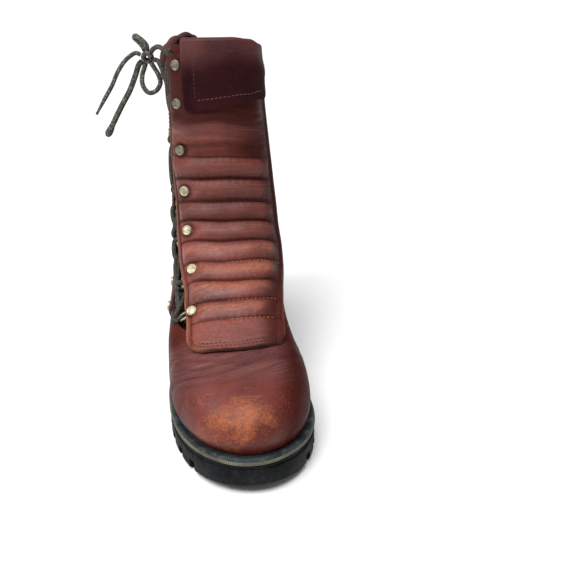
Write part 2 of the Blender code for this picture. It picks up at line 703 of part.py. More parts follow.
def flap_path(outer):
    """Flap cross-section as (out, height), from inside over the rim and down the front."""
    shift = FLAP_THICK if outer else 0.0
    front = FLAP_OUT + shift
    rear = -WALL - GAP - .3 - shift
    middle, reach = (front + rear) / 2, (front - rear) / 2
    turn = np.linspace(math.pi, 0, 5)
    arch = [(middle + reach * math.cos(w), .9 + shift + reach * .42 * math.sin(w)) for w in turn]
    fall = [(front, -h) for h in (14, 28, FLAP_DROP - 6, FLAP_DROP - 2, FLAP_DROP)]
    return [(rear, -16.0), (rear, -8.0)] + arch + fall


flap_a = np.linspace(2.44, 3.86, 9)
flap_faces = []
for outer in (True, False):
    grid = []
    for out, height in flap_path(outer):
        drop = max(0.0, -height - (FLAP_DROP - 6)) / 6 if out > 0 else 0.0
        pinch = .05 * (1 - math.sqrt(max(0.0, 1 - drop**2)))
        middle = flap_a.mean()
        places = middle + (flap_a - middle) * (1 - pinch)
        fall = np.interp(places, HEM_PLACES, HEM_DROPS) / FLAP_DROP if height < 0 else np.ones(len(places))
        grid.append([at_rim(a, height * share, out) for a, share in zip(places, fall)])
    flap_faces.append(np.array(grid))
slab("top_flap", flap_faces[0], flap_faces[1], LEATHER)


def rivet(name, t, a, out):
    """Domed rivet standing on the surface."""
    across, up, normal = skin_frame(t, a)
    base = on_skin(t, a, out)
    rings = []
    for share, rise in ((1.0, 0.0), (1.0, .45), (.72, .85)):
        turn = np.linspace(0, 2 * math.pi, 8, endpoint=False)
        rings.append(base + normal * (rise * RIVET_HEIGHT)
                     + RIVET_RADIUS * share * (np.cos(turn)[:, None] * across + np.sin(turn)[:, None] * up))
    return sweep(name, np.array(rings), BRASS)


def lace_ring(name, t, edge, half):
    """Wire loop lying in the slot, its inner bar under the leather edge (edge 2 panel, 1 stay)."""
    near, far = RING_WIRE + .6, min(RING_REACH, 6 + 1.5 * half, slot_width(t, edge) * .45 - 1.5)
    middle, reach = (near + far) / 2, (far - near) / 2
    turn = np.linspace(0, 2 * math.pi, 8, endpoint=False) + math.pi / 8
    across = middle + reach * np.sign(np.cos(turn)) * np.abs(np.cos(turn)) ** .6
    rise = half * np.sign(np.sin(turn)) * np.abs(np.sin(turn)) ** .6
    places = np.array([step_from_edge(t, edge, d, e) for d, e in zip(across, rise)])
    path = on_skin(places[:, 0], places[:, 1], -RING_WIRE - .4)
    return sweep(name, tube_loops(path, RING_WIRE, 4, closed=True), BRASS, closed=True)


def stay_rows():
    """Lace rows evenly spaced along the rear edge of the slot."""
    heights = np.linspace(SLOT_BOTTOM, STAY_TOP, 300)
    steps = np.linalg.norm(np.diff(on_skin(heights, 1.0), axis=0), axis=1)
    arc = np.concatenate([[0], np.cumsum(steps)])
    return np.interp(np.linspace(STAY_FIRST, arc[-1], len(PANEL_ROWS)), arc, heights)


STAY_ROWS = stay_rows()
for k, t in enumerate(PANEL_ROWS, 1):
    place = step_from_edge(t, 2, -RIVET_INSIDE) if k > 1 else step_from_edge(*LOWEST_RIVET)
    rivet("rivet_panel_%d" % k, *place, LAYER + PANEL_THIN + GAP + .3)
    lace_ring("ring_panel_%d" % k, t, 2, RING_HALF if k > 1 else RING_LOWEST)
for k, t in enumerate(STAY_ROWS, 1):
    place = step_from_edge(t, 1, -stay_width(t) * .5)
    rivet("rivet_stay_%d" % k, *place, LAYER + STAY_THICK + GAP + .5 + over_lap(*place))
    lace_ring("ring_stay_%d" % k, t, 1, RING_HALF if k > 1 else RING_LOWEST)


def lace_turn(row, edge):
    """Where the lace turns at a loop, just clear of the leather edge."""
    t = (PANEL_ROWS if edge == 2 else STAY_ROWS)[row]
    return step_from_edge(t, edge, overhang(t, edge) + LACE_RADIUS + 1.4)


def strand(first_edge, lift):
    """Half of the criss-cross from the lowest row up, over or under the other half."""
    points = []
    edge = first_edge
    for row in range(len(PANEL_ROWS)):
        t, a = lace_turn(row, edge)
        points.append(on_skin(t, a, LACE_OUT))
        edge = 3 - edge
        if row + 1 < len(PANEL_ROWS):
            t2, a2 = lace_turn(row + 1, edge)
            points.append(on_skin((t + t2) / 2, (a + a2) / 2, LACE_OUT + lift))
    return points


def from_knot(*offsets):
    return [KNOT + np.array(o) for o in offsets]


panel_lead = from_knot((3.4, -4.1, 4.2), (5.4, -6.5, 6.7), (10, -15, 9), (15, -24.5, 7))
stay_lead = from_knot((14, -14.5, -18), (11.5, -11, -9.5), (8.3, -5.9, -2.6), (5.0, -3.5, -1.5))
lace_route = panel_lead + strand(2, 1.7)[::-1] + strand(1, -3.2) + stay_lead
sweep("lace", tube_loops(smooth_path(lace_route, 2), LACE_RADIUS, 5), CORD)


def cord(name, route, per_span):
    """Loose lace as a round tube along a smooth route."""
    path = smooth_path(route, per_span) * MM
    curve = bpy.data.curves.new(name, "CURVE")
    curve.dimensions = "3D"
    curve.bevel_depth = LACE_RADIUS * MM
    curve.bevel_resolution = 2
    curve.use_fill_caps = True
    spline = curve.splines.new("POLY")
    spline.points.add(len(path) - 1)
    for point, place in zip(spline.points, path):
        point.co = (*place, 1.0)
    curve.materials.append(CORD)
    obj = bpy.data.objects.new(name, curve)
    bpy.context.scene.collection.objects.link(obj)
    return obj


coil = np.linspace(0, 1, 10)
cord("lace_knot", [KNOT + np.array((3.1 * math.cos(11.5 * u), 4.6 * (2 * u - 1), 3.1 * math.sin(11.5 * u)))
                   for u in coil], 2)
cord("lace_loop_upper", from_knot((-2, 2, 4.8), (-3.6, 3.6, 7.8), (-6.6, 5, 11), (-9, 4.8, 13.6),
                                  (-7.6, 2, 15.2), (-4.2, -1, 13.4), (-1.2, -2.6, 10.8), (.3, -2.6, 8.2),
                                  (.3, -1.5, 5.6)), 2)
cord("lace_loop_lower", from_knot((2.6, -1.5, -4.1), (4.6, -2.8, -7.4), (7.6, -3.5, -13), (8.4, -4, -19),
                                  (4.6, -4, -24.6), (-1.2, -4, -25.6), (-5, -3, -20), (-5, -.8, -13.4),
                                  (-3.2, .9, -8.4), (-1.8, .5, -4.7)), 2)
cord("lace_end_a", from_knot((-5.0, -1.4, 2.0), (-9, -2.4, 3.2), (-16.6, -3, -2), (-23, -3.5, -10.5),
                             (-28, -4, -20), (-34.5, -5, -30), (-41.5, -6, -41)), 2)
cord("lace_end_b", from_knot((-5.0, 2.9, -3.6), (-7.6, 4.2, -6.6), (-10.6, 3, -14), (-15.5, 1, -24.6),
                             (-22, -1, -35), (-29, -3, -47), (-35.5, -4, -58.5)), 2)
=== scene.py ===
"""Looks of the right-foot side-lacing leather boot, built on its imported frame.

Toe towards -Y, outer (laced) side towards -X, up is +Z.
Sizes below are millimetres and become metres when a mesh is made.
"""
import math
from collections import namedtuple

import bmesh
import bpy
import numpy as np
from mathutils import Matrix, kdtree
from mathutils.bvhtree import BVHTree


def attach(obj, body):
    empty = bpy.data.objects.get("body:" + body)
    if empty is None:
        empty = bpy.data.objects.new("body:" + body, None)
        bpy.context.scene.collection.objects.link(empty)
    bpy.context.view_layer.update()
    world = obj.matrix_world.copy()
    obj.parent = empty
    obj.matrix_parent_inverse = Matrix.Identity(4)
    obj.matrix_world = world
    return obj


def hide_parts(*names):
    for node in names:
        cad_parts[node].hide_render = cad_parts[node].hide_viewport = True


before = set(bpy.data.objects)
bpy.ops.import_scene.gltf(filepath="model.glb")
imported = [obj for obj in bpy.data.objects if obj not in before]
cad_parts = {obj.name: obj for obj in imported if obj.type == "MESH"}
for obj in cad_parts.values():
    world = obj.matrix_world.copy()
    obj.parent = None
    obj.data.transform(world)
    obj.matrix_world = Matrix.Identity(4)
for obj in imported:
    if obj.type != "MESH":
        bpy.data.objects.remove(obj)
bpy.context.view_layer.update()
MM = 0.001

# ---------------------------------------------------------------- camera
scene = bpy.context.scene
lens = bpy.data.cameras.new("camera")
lens.lens = 45.74
lens.sensor_width = 36.0
lens.shift_x = -.0138
camera = bpy.data.objects.new("camera", lens)
camera.location = (-.0032, -.5084, .300)
camera.rotation_euler = (math.radians(65.5), 0.0, math.radians(-6.3))
scene.collection.objects.link(camera)
scene.camera = camera
scene.view_settings.view_transform = "Standard"

# ---------------------------------------------------------------- sizes of the boot
# Heights called t count sections, from the feather line to the rim. Places called a run round the boot:
# 0 back, 1 to 2 lace slot, 3 front, 4 panel's inner edge, 5 back again. Others are millimetres.
WALL = 2.2
GAP = 0.3
LAYER = 0.6
VAMP_STEP = 1.2
VAMP_TOP = 5.1
SLOT_BOTTOM = 3.95
SOLE_EDGE = 6.8
WELT_HEIGHT = 4.3
HEEL_TOP = 20.0
HEEL_BREAST = 74.0
PANEL_BOTTOM = 4.158
PANEL_THIN = 2.6
PANEL_PAD = 2.2
PANEL_OVERHANG = 6.0
PANEL_CORNER = 17.0
QUILT_FIRST = 31.2
QUILT_PITCH = 16.7
QUILT_COUNT = 8
LACE_RADIUS = 1.8
RING_WIRE = 1.0
RING_REACH = 12.0
RING_HALF = 4.6
RING_LOWEST = 2.8
RIVET_INSIDE = 9.5
LOWEST_RIVET = (4.76, 2, -4.8)
RIVET_RADIUS = 3.7
RIVET_HEIGHT = 1.7
PANEL_ROWS = (4.9, 5.87, 7.08, 8.3, 9.3, 10.15, 10.72)
STAY_FIRST = 8.0
STAY_TOP = 10.15
STAY_THICK = 1.6
GUSSET_THICK = 1.5
FLAP_THICK = 1.9
FLAP_DROP = 43.0
HEM_PLACES = (2.44, 3.0, 3.5, 3.86)
HEM_DROPS = (45.5, 42.5, 39.0, 33.5)
KNOT = np.array((-52.8, 82.0, 229.0))

Section = namedtuple(
    "Section",
    "front_y front_z back_y back_z fore mid rear front_round square back_round dip dip_at arch arch_at swing "
    "lean lace_y gap inner_y")
SECTIONS = (
    Section(-144.5, 26, 143.5, 37, 42.0, 33.0, 34.5, 74, 2.1, 40, 9.0, .68, 8, .48, 8, 1.1, -122, 28, -118),
    Section(-147.5, 37.5, 145.5, 45.5, 45, 36, 36.5, 70, 2.15, 40, 7, .68, 8, .49, 7, 0.6, -123, 34, -120),
    Section(-140, 49, 146.5, 55, 45.0, 37.0, 37.0, 72, 2.15, 40, 4.5, .66, 7, .53, 6, 0.6, -118, 44, -115),
    Section(-123, 57.5, 145, 64, 44.0, 38.0, 37.0, 78, 2.15, 40, 2.5, .62, 6.5, .62, 4, 0.6, -106, 56, -104),
    Section(-96, 63, 142.5, 74.5, 42.5, 39.0, 36.5, 84, 2.15, 39, 1.0, .60, 6, .66, 3, 1.1, -70, 54, -69),
    Section(-63, 72, 139.5, 86, 41.0, 39.0, 35.5, 82, 2.2, 38, 0.5, .55, 4.5, .62, 2, 1.6, -37, 57, -31),
    Section(-33, 86.5, 136.5, 99.5, 40.5, 39.0, 35.0, 72, 2.3, 38, 0, .50, 2, .55, 1, 1.6, -8, 48, 5),
    Section(-5, 106.5, 134, 117, 40.0, 39.0, 34.5, 58, 2.5, 38, 0, .50, 0, .50, 0, 1.1, 14, 40, 23),
    Section(11, 129.5, 132, 138, 38.5, 38.5, 34.0, 49, 2.6, 38, 0, .50, 0, .50, 0, 0.6, 27, 36, 34),
    Section(19, 158, 132, 163, 36.4, 37.0, 34.0, 45, 2.7, 40, 0, .50, 0, .50, 0, -0.8, 35, 34, 42),
    Section(23, 196, 133, 195, 34.0, 35.0, 33.0, 44, 2.7, 42, 0, .50, 0, .50, 0, -2.2, 40, 34, 47),
    Section(27, 243, 135, 227, 32.0, 33.5, 32.0, 44, 2.7, 42, -3.5, .46, 0, .50, 0, -3.4, 43, 34, 50),
)
RIM = float(len(SECTIONS) - 1)
# Rise of the rim above the last section round the boot: outer quarter's ear, low inner collar
RIM_PLACES = (0, .12, .22, .32, .5, .75, 1.0, 2.0, 3.3, 3.6, 3.8, 4.0, 4.2, 4.5, 4.8, 5.0)
RIM_RISES = (1, 3, 8, 9.5, 5, -2, -8, 0, 0, -1.5, -4.5, -9, -13, -8, -2, 1)
TABLE = np.array(SECTIONS, dtype=float)
TREAD_Y = (-153, -136, -119, -100, 8, 10, 40, 71, 165)
TREAD_Z = (7.0, 3.0, .8, 0, 0, 7.5, 12.5, HEEL_TOP + GAP, HEEL_TOP + GAP)


# ---------------------------------------------------------------- lines and curves
def ease(value):
    """Smooth step from 0 to 1."""
    value = np.clip(value, 0.0, 1.0)
    return value * value * (3 - 2 * value)


def bump(distance, width):
    """Bell curve, 1 at distance 0."""
    return np.exp(-((distance / width) ** 2))


def unit(vectors):
    return vectors / np.linalg.norm(vectors, axis=-1, keepdims=True)


def arc_length(path):
    """Length along a path up to each of its points."""
    return np.concatenate([[0], np.cumsum(np.linalg.norm(np.diff(path, axis=0), axis=1))])


def points_at(stops, arc, line):
    """Points of a line at given values of a measure along it."""
    return np.stack([np.interp(stops, arc, line[:, k]) for k in range(3)], axis=-1)


def resample(path, pitch):
    """Points of a path at an even pitch."""
    arc = arc_length(path)
    return points_at(np.arange(pitch / 2, arc[-1], pitch), arc, path)


def smooth_path(points, per_span, closed=False):
    """Catmull-Rom curve through the route's own points."""
    pts = np.array(points, dtype=float)
    count = len(pts)
    out = []
    for k in range(count if closed else count - 1):
        near = [(k + j) % count if closed else min(max(k + j, 0), count - 1) for j in (-1, 0, 1, 2)]
        p0, p1, p2, p3 = pts[near]
        for u in np.linspace(0, 1, per_span, endpoint=False):
            out.append(.5 * (2 * p1 + (p2 - p0) * u + (2 * p0 - 5 * p1 + 4 * p2 - p3) * u**2
                             + (3 * p1 - p0 - 3 * p2 + p3) * u**3))
    if not closed:
        out.append(pts[-1])
    return np.array(out)


# ---------------------------------------------------------------- the last and its skin
def section_at(t):
    """Section sizes at height t by a cubic through the table's rows."""
    t = min(max(t, 0.0), RIM)
    k = min(int(t), len(SECTIONS) - 2)
    u = t - k
    last = len(SECTIONS) - 1
    p0, p1, p2, p3 = (TABLE[min(max(k + j, 0), last)] for j in (-1, 0, 1, 2))
    m1 = (p2 - p0) / 2 if k > 0 else p2 - p1
    m2 = (p3 - p1) / 2 if k < last - 1 else p2 - p1
    row = ((2 * u**3 - 3 * u**2 + 1) * p1 + (u**3 - 2 * u**2 + u) * m1
           + (3 * u**2 - 2 * u**3) * p2 + (u**3 - u**2) * m2)
    return Section(*row)


def half_width(sec, c):
    """Half width of a section at fractions c, from rear through middle to fore."""
    width = sec.rear + (sec.mid - sec.rear) * ease((c - .12) / .30)
    return width + (sec.fore - sec.mid) * ease((c - .42) / .30)


def section_height(sec, c):
    """Height of a section at fractions c from back to front."""
    sag = sec.dip * np.sin(math.pi * c ** (math.log(.5) / math.log(sec.dip_at)))
    return sec.back_z + (sec.front_z - sec.back_z) * c - sag


def section_line(sec, c, side, margin=0.0):
    """Points of a section at fractions c from back to front; side -1 outer, +1 inner."""
    chord = sec.back_y - sec.front_y
    length = chord + 2 * margin
    along = c * length
    y = sec.back_y + margin - along
    c_last = np.clip((sec.back_y - y) / chord, 0.0, 1.0)
    back = np.clip(1 - along / (sec.back_round + margin), 0.0, 1.0)
    front = np.clip(1 - (length - along) / (sec.front_round + margin), 0.0, 1.0)
    rounding = (1 - back**2.2) ** (1 / 2.2) * (1 - front**sec.square) ** (1 / sec.square)
    width = half_width(sec, c_last) + margin
    if side > 0:
        width = width - sec.arch * np.exp(-(((c_last - sec.arch_at) / .19) ** 2))
    centre = sec.lean + sec.swing * ease((c_last - .5) / .5)
    return np.stack([centre + side * width * rounding, y, section_height(sec, c_last)], axis=-1)


ROW_STEPS = 16
STEPS = 80
FINE = 0.5 - 0.5 * np.cos(np.linspace(0, math.pi, 321))


def section_ring(t):
    """Closed ring of the skin split at the back, both slot edges, the front and the panel's inner edge."""
    sec = section_at(t)
    outer = section_line(sec, FINE, -1)
    inner = section_line(sec, FINE[::-1], 1)
    line = np.concatenate([outer, inner[1:]])
    arc = arc_length(line)
    chord = sec.back_y - sec.front_y
    count = len(FINE)

    def arc_outer(y):
        return np.interp((sec.back_y - y) / chord, FINE, arc[:count])

    inner_arc = np.interp((sec.back_y - sec.inner_y) / chord, FINE, arc[count - 1:][::-1])
    marks = [0, arc_outer(sec.lace_y + sec.gap), arc_outer(sec.lace_y), arc[count - 1], inner_arc, arc[-1]]
    stops = np.concatenate([np.linspace(a, b, STEPS, endpoint=False) for a, b in zip(marks, marks[1:])])
    return points_at(stops, arc, line)


def vamp_layer(t, a):
    """Vamp leather lapped over the shaft: a step at the quarters, running out under the front panel."""
    quarter = 1 - ease((a - .85) / .15) * ease((4.15 - a) / .15)
    return VAMP_STEP * (quarter * (t < VAMP_TOP) + (1 - quarter) * (1 - ease((t - 3.0) / 1.6)))


def make_skin():
    """Grid of the outer face and its outward normals, the vamp's lap included."""
    rows = np.linspace(0, RIM, int(RIM) * ROW_STEPS + 1)
    grid = np.array([section_ring(t) for t in rows])
    for turn in range(2):
        around = np.roll(grid, -1, axis=1) - np.roll(grid, 1, axis=1)
        upward = np.gradient(grid, axis=0)
        normal = unit(np.cross(upward, around))
        outward = grid - grid.mean(axis=1, keepdims=True)
        outward[..., 2] = 0
        normal *= np.sign((normal * outward).sum(axis=(1, 2)))[:, None, None]
        if turn == 0:
            grid = grid + normal * vamp_layer(rows[:, None], np.arange(grid.shape[1]) / STEPS)[..., None]
    return rows, grid, normal


SKIN_ROWS, SKIN, SKIN_NORMAL = make_skin()
COLUMNS = SKIN.shape[1]


def on_skin(t, a, out=0.0):
    """Point at height t and place a around the ring (0 back, 1 to 2 slot, 3 front, 4 panel's inner edge)."""
    t, a, out = np.broadcast_arrays(*(np.asarray(v, dtype=float) for v in (t, a, out)))
    row = np.clip(t, 0, RIM) * ROW_STEPS
    col = np.mod(a, 5) * STEPS
    r0 = np.minimum(row.astype(int), len(SKIN_ROWS) - 2)
    c0 = np.floor(col).astype(int) % COLUMNS
    fr = (row - r0)[..., None]
    fc = (col - np.floor(col))[..., None]
    c1 = (c0 + 1) % COLUMNS

    def mix(field):
        low = field[r0, c0] * (1 - fc) + field[r0, c1] * fc
        high = field[r0 + 1, c0] * (1 - fc) + field[r0 + 1, c1] * fc
        return low * (1 - fr) + high * fr

    return mix(SKIN) + unit(mix(SKIN_NORMAL)) * out[..., None]


def skin_frame(t, a):
    """Across, up and outward unit directions at a place on the skin."""
    across = unit(on_skin(t, a + .02) - on_skin(t, a - .02))
    normal = on_skin(t, a, 1.0) - on_skin(t, a)
    up = unit(np.cross(normal, across))
    return across, up if up[2] >= 0 else -up, normal


def height_scale(t, a):
    """Millimetres per unit of t."""
    return np.linalg.norm(on_skin(min(t + .1, RIM), a) - on_skin(t - .1, a)) / (min(t + .1, RIM) - t + .1)


STRIDES = 4


def step_from_edge(t, edge, across, along=0.0):
    """Place reached from a slot edge (1 rear, 2 panel) by going square into the slot and along the edge."""
    into = -1 if edge == 2 else 1
    side = into if across > 0 else -into
    run = (on_skin(t, edge + side * .1) - on_skin(t, edge)) / (side * .1)
    rise = (on_skin(t + .08, edge) - on_skin(t - .08, edge)) / .16
    heading = unit(rise)
    square = into * unit(run - heading * run.dot(heading))
    goal = (square * across + heading * along) / STRIDES
    a = float(edge)
    for _ in range(STRIDES):
        run = (on_skin(t, a + side * .05) - on_skin(t, a)) / (side * .05)
        rise = (on_skin(t + .08, a) - on_skin(t - .08, a)) / .16
        da, dt = np.linalg.lstsq(np.stack([run, rise], axis=1), goal, rcond=None)[0]
        t, a = t + dt, a + da
    return t, a


def rim_rise(a):
    """Height of the rim's own line above the last section at place a."""
    a = a % 5
    k = min(int(np.searchsorted(RIM_PLACES, a, side="right")) - 1, len(RIM_PLACES) - 2)
    share = ease((a - RIM_PLACES[k]) / (RIM_PLACES[k + 1] - RIM_PLACES[k]))
    return float(RIM_RISES[k] + (RIM_RISES[k + 1] - RIM_RISES[k]) * share)


def at_rim(a, height, out):
    """Point above or below the rim's line at place a, pushed outward by out."""
    height = height + rim_rise(a)
    if height <= 0:
        return on_skin(RIM + height / height_scale(RIM - .3, a), a, out)
    across, up, normal = skin_frame(RIM, a)
    return on_skin(RIM, a, out) + up * height


# ---------------------------------------------------------------- shader building
def tone(red, green, blue):
    """Linear colour of a display colour given in 0 to 255."""
    linear = [((v / 255 + .055) / 1.055) ** 2.4 if v > 10 else v / 255 / 12.92 for v in (red, green, blue)]
    return (*linear, 1.0)


class Value:
    """Output of a shader node, usable in sums and products."""

    def __init__(self, net, socket):
        self.net, self.socket = net, socket

    def __add__(self, other):
        return self.net.math("ADD", self, other)

    def __sub__(self, other):
        return self.net.math("SUBTRACT", self, other)

    def __rsub__(self, other):
        return self.net.math("SUBTRACT", other, self)

    def __mul__(self, other):
        return self.net.math("MULTIPLY", self, other)

    def __abs__(self):
        return self.net.math("ABSOLUTE", self)

    def ramp(self, low, high, to_low=0.0, to_high=1.0):
        """Smooth change from to_low to to_high as the value goes from low to high."""
        return self.net.out("ShaderNodeMapRange", "Result",
                            {"Value": self, "From Min": low, "From Max": high, "To Min": to_low, "To Max": to_high},
                            interpolation_type="SMOOTHSTEP")


class Net:
    """Node tree with the kinds of node that the looks share."""

    def __init__(self, tree):
        self.tree, self.coords = tree, None

    def feed(self, socket, value):
        """Links a value to a socket, or sets a constant there."""
        if isinstance(value, Value):
            self.tree.links.new(value.socket, socket)
        else:
            socket.default_value = value

    def add(self, kind, inputs, **settings):
        node = self.tree.nodes.new(kind)
        for key, setting in settings.items():
            setattr(node, key, setting)
        for key, value in inputs.items():
            self.feed(node.inputs[key], value)
        return node

    def out(self, kind, key, inputs, **settings):
        """One output of a new node."""
        return Value(self, self.add(kind, inputs, **settings).outputs[key])

    def use(self, shared, inputs):
        """Outputs of a shared node group by name."""
        node = self.add("ShaderNodeGroup", inputs, node_tree=shared)
        return {socket.name: Value(self, socket) for socket in node.outputs}

    def place(self, kind="Object"):
        self.coords = self.coords or self.add("ShaderNodeTexCoord", {})
        return Value(self, self.coords.outputs[kind])

    def parts(self, vector):
        """First and second component of a vector."""
        split = self.add("ShaderNodeSeparateXYZ", {0: vector})
        return Value(self, split.outputs[0]), Value(self, split.outputs[1])

    def mark(self, name):
        """Value painted on a piece's points."""
        return self.out("ShaderNodeAttribute", "Fac", {}, attribute_name=name)

    def math(self, kind, first, second=0.0):
        return self.out("ShaderNodeMath", 0, {0: first, 1: second}, operation=kind)

    def mix(self, factor, low, high):
        """Colour between two colours."""
        return self.out("ShaderNodeMix", 2, {0: factor, 6: low, 7: high}, data_type="RGBA")

    def noise(self, scale, detail=4.0, rough=.55, warp=0.0, place=None):
        return self.out("ShaderNodeTexNoise", "Fac", {"Vector": place or self.place(), "Scale": scale,
                                                      "Detail": detail, "Roughness": rough, "Distortion": warp})


class Look(Net):
    """Nodes of one material."""

    def __init__(self, name):
        self.material = bpy.data.materials.new(name)
        self.material.use_nodes = True
        super().__init__(self.material.node_tree)

    def finish(self, colour, rough, relief=None, **channels):
        """Feeds the surface; relief is a height with its strength and depth in metres."""
        channels = {"Base Color": colour, "Roughness": rough, **channels}
        if relief:
            height, strength, depth = relief
            channels["Normal"] = self.out("ShaderNodeBump", 0,
                                          {"Height": height, "Strength": strength, "Distance": depth})
        for name, value in channels.items():
            self.feed(self.tree.nodes["Principled BSDF"].inputs[name], value)
        return self.material


FLOAT, COLOUR = "NodeSocketFloat", "NodeSocketColor"


def shared_group(name, inputs, make):
    """Node group with the given inputs; make(net, given) returns its outputs as name: (kind, value)."""
    net = Net(bpy.data.node_groups.new(name, "ShaderNodeTree"))
    for label, kind in inputs.items():
        net.tree.interface.new_socket(label, in_out="INPUT", socket_type=kind)
    source = net.add("NodeGroupInput", {})
    made = make(net, {label: Value(net, source.outputs[label]) for label in inputs})
    for label, (kind, value) in made.items():
        net.tree.interface.new_socket(label, in_out="OUTPUT", socket_type=kind)
    result = net.add("NodeGroupOutput", {})
    for label, (kind, value) in made.items():
        net.feed(result.inputs[label], value)
    return net.tree


def grain(net, given):
    """Pebbled leather: cells, finer pores and faint long wrinkles as one height."""
    place = net.place()
    drift = net.out("ShaderNodeTexNoise", "Color", {"Vector": place, "Scale": 260.0, "Detail": 2.0})
    drift = net.out("ShaderNodeVectorMath", 0, {0: drift, "Scale": .0012}, operation="SCALE")
    bent = net.out("ShaderNodeVectorMath", 0, {0: place, 1: drift}, operation="ADD")
    cells = net.out("ShaderNodeTexVoronoi", "Distance", {"Vector": bent, "Scale": given["Scale"], "Randomness": .9},
                    feature="DISTANCE_TO_EDGE")
    wrinkles = abs(net.noise(90.0, 5.0, .62, .8) - .5).ramp(0.0, .035)
    height = cells.ramp(0.0, .22) * .5 + net.noise(2600.0, 3.0, .6) * .35 + wrinkles * given["Wrinkles"]
    return {"Height": (FLOAT, height)}


def rubbed(net, given):
    """Leather colour: uneven dye, painted shade, finish rubbed off in speckled patches, a painted greyish purple sheen,
    pale crease lines and thin crease troughs darkened as painted shade.
    """
    deep, wear, sheen_and_creases = given["Deep"], given["Wear"], given["Sheen_and_creases"]
    dyed = net.mix(net.noise(26.0, 5.0, .6, .4).ramp(.36, .66) * .5, given["Base"], deep)
    dyed = net.mix(net.noise(420.0, 3.0, .6).ramp(.42, .7) * .2, dyed, deep)
    # Painted shade: darker towards the deep colour where the shade mark is
    dyed = net.mix(given["Shade"], dyed, deep)
    patches = (net.noise(66.0, 5.0, .6, .8) - .5) * 1.25
    specks = (net.noise(620.0, 5.0, .7) - .5) * 1.25
    bare = (wear + (patches + specks)).ramp(.22, 1.05) * wear.ramp(.02, .3)
    stretched = net.out("ShaderNodeMapping", 0, {"Vector": net.place(), "Rotation": (.3, .5, .6),
                                                 "Scale": (55.0, 900.0, 700.0)})
    scratches = net.noise(1.0, 2.0, .5, place=stretched).ramp(.60, .68)
    scratches = scratches * (given["Scratch"] * wear.ramp(.05, .35, .3, 1.1))
    bare = net.math("MINIMUM", bare + scratches, 1.0)
    worn = net.mix(bare, dyed, given["Rubbed"])
    # Painted sheen: a greyish purple reflection where the sheen mark is
    worn = net.mix(sheen_and_creases * .34, worn, tone(108, 78, 80))
    sideways = net.parts(net.place())[0]

    def lane(across, up):
        """Coordinates drawn out along the creases."""
        return net.out("ShaderNodeCombineXYZ", 0, {0: sideways * across, 1: net.mark("lane") * up})

    # Pale crease lines, and thin crease troughs whose dark colour is painted shade
    threads = net.noise(1.0, 5.0, .62, .25, lane(26.0, .75)).ramp(.50, .70) * sheen_and_creases
    crease_troughs = abs(net.noise(1.0, 4.0, .6, .3, lane(14.0, .2)) - .5).ramp(0.0, .03, 1.0, 0.0) * sheen_and_creases
    lined = net.mix(crease_troughs * .5, net.mix(threads * .5, worn, given["Pale"]), deep)
    return {"Colour": (COLOUR, lined), "Bare": (FLOAT, bare), "Lines": (FLOAT, threads - crease_troughs)}


def dust(net, given):
    """Pale dust that gathers in patches."""
    patches = net.noise(120.0, 8.0, .75, .3).ramp(.46, .74)
    specks = net.noise(900.0, 2.0, .5).ramp(.55, .75)
    cover = net.math("MINIMUM", (patches + specks * .5) * given["Amount"], 1.0)
    return {"Colour": (COLOUR, net.mix(cover, given["Colour"], given["Dust"]))}


def braid(net, given):
    """Round braided cord on a UV map (turns, millimetres): crossing strands as a height and pale flecks."""
    turn, along = net.parts(net.place("UV"))
    turn, along = turn * given["Strands"], net.math("DIVIDE", along, given["Pitch"])
    left, right = (abs(net.math("SINE", lane * math.pi)) for lane in (turn + along, turn - along))
    fleck = net.noise(620.0, 2.0, .5).ramp(.50, .64) * left.ramp(.35, .8)
    return {"Height": (FLOAT, net.math("POWER", net.math("MAXIMUM", left, right), .7)), "Fleck": (FLOAT, fleck)}


GRAIN = shared_group("leather_grain", {"Scale": FLOAT, "Wrinkles": FLOAT}, grain)
RUBBED_SHADE_AND_SHEEN = shared_group("rubbed_colour_shade_and_sheen", {"Base": COLOUR, "Deep": COLOUR, "Rubbed": COLOUR, "Pale": COLOUR, "Wear": FLOAT,
                                        "Shade": FLOAT, "Scratch": FLOAT, "Sheen_and_creases": FLOAT}, rubbed)
DUST = shared_group("dust", {"Colour": COLOUR, "Dust": COLOUR, "Amount": FLOAT}, dust)
BRAID = shared_group("braid", {"Strands": FLOAT, "Pitch": FLOAT}, braid)
CREASE_PALE = (178, 138, 120)
GRAIN_SCALE = 900.0
GRAIN_DEPTH = .00024
BEAD_RIB = 1.35


def leather(name, base, deep, worn, rough=.46, scratch=.25, wrinkles=.25, gloss=.28):
    """Waxed leather with grain, uneven dye, wear, painted shade and painted sheen that follow the marks painted on its
    points.
    """
    look = Look(name)
    pale = tuple(.55 * b + .45 * v for b, v in zip(base, CREASE_PALE))
    skin = look.use(RUBBED_SHADE_AND_SHEEN, {"Base": tone(*base), "Deep": tone(*deep), "Rubbed": tone(*worn), "Pale": tone(*pale),
                             "Wear": look.mark("wear"), "Shade": look.mark("shade"), "Scratch": scratch,
                             "Sheen_and_creases": look.mark("sheen_and_creases")})
    height = look.use(GRAIN, {"Scale": GRAIN_SCALE, "Wrinkles": wrinkles})["Height"]
    dull = look.noise(60.0).ramp(.3, .7, rough - .08, rough + .1) + skin["Bare"] * .18
    # Where painted shade is marked the gloss drops too
    shine = look.mark("shade").ramp(0.0, .9, gloss, .1 * gloss)
    return look.finish(skin["Colour"], dull, (height + skin["Lines"] * 1.3, .55, GRAIN_DEPTH),
                       **{"Specular IOR Level": shine})


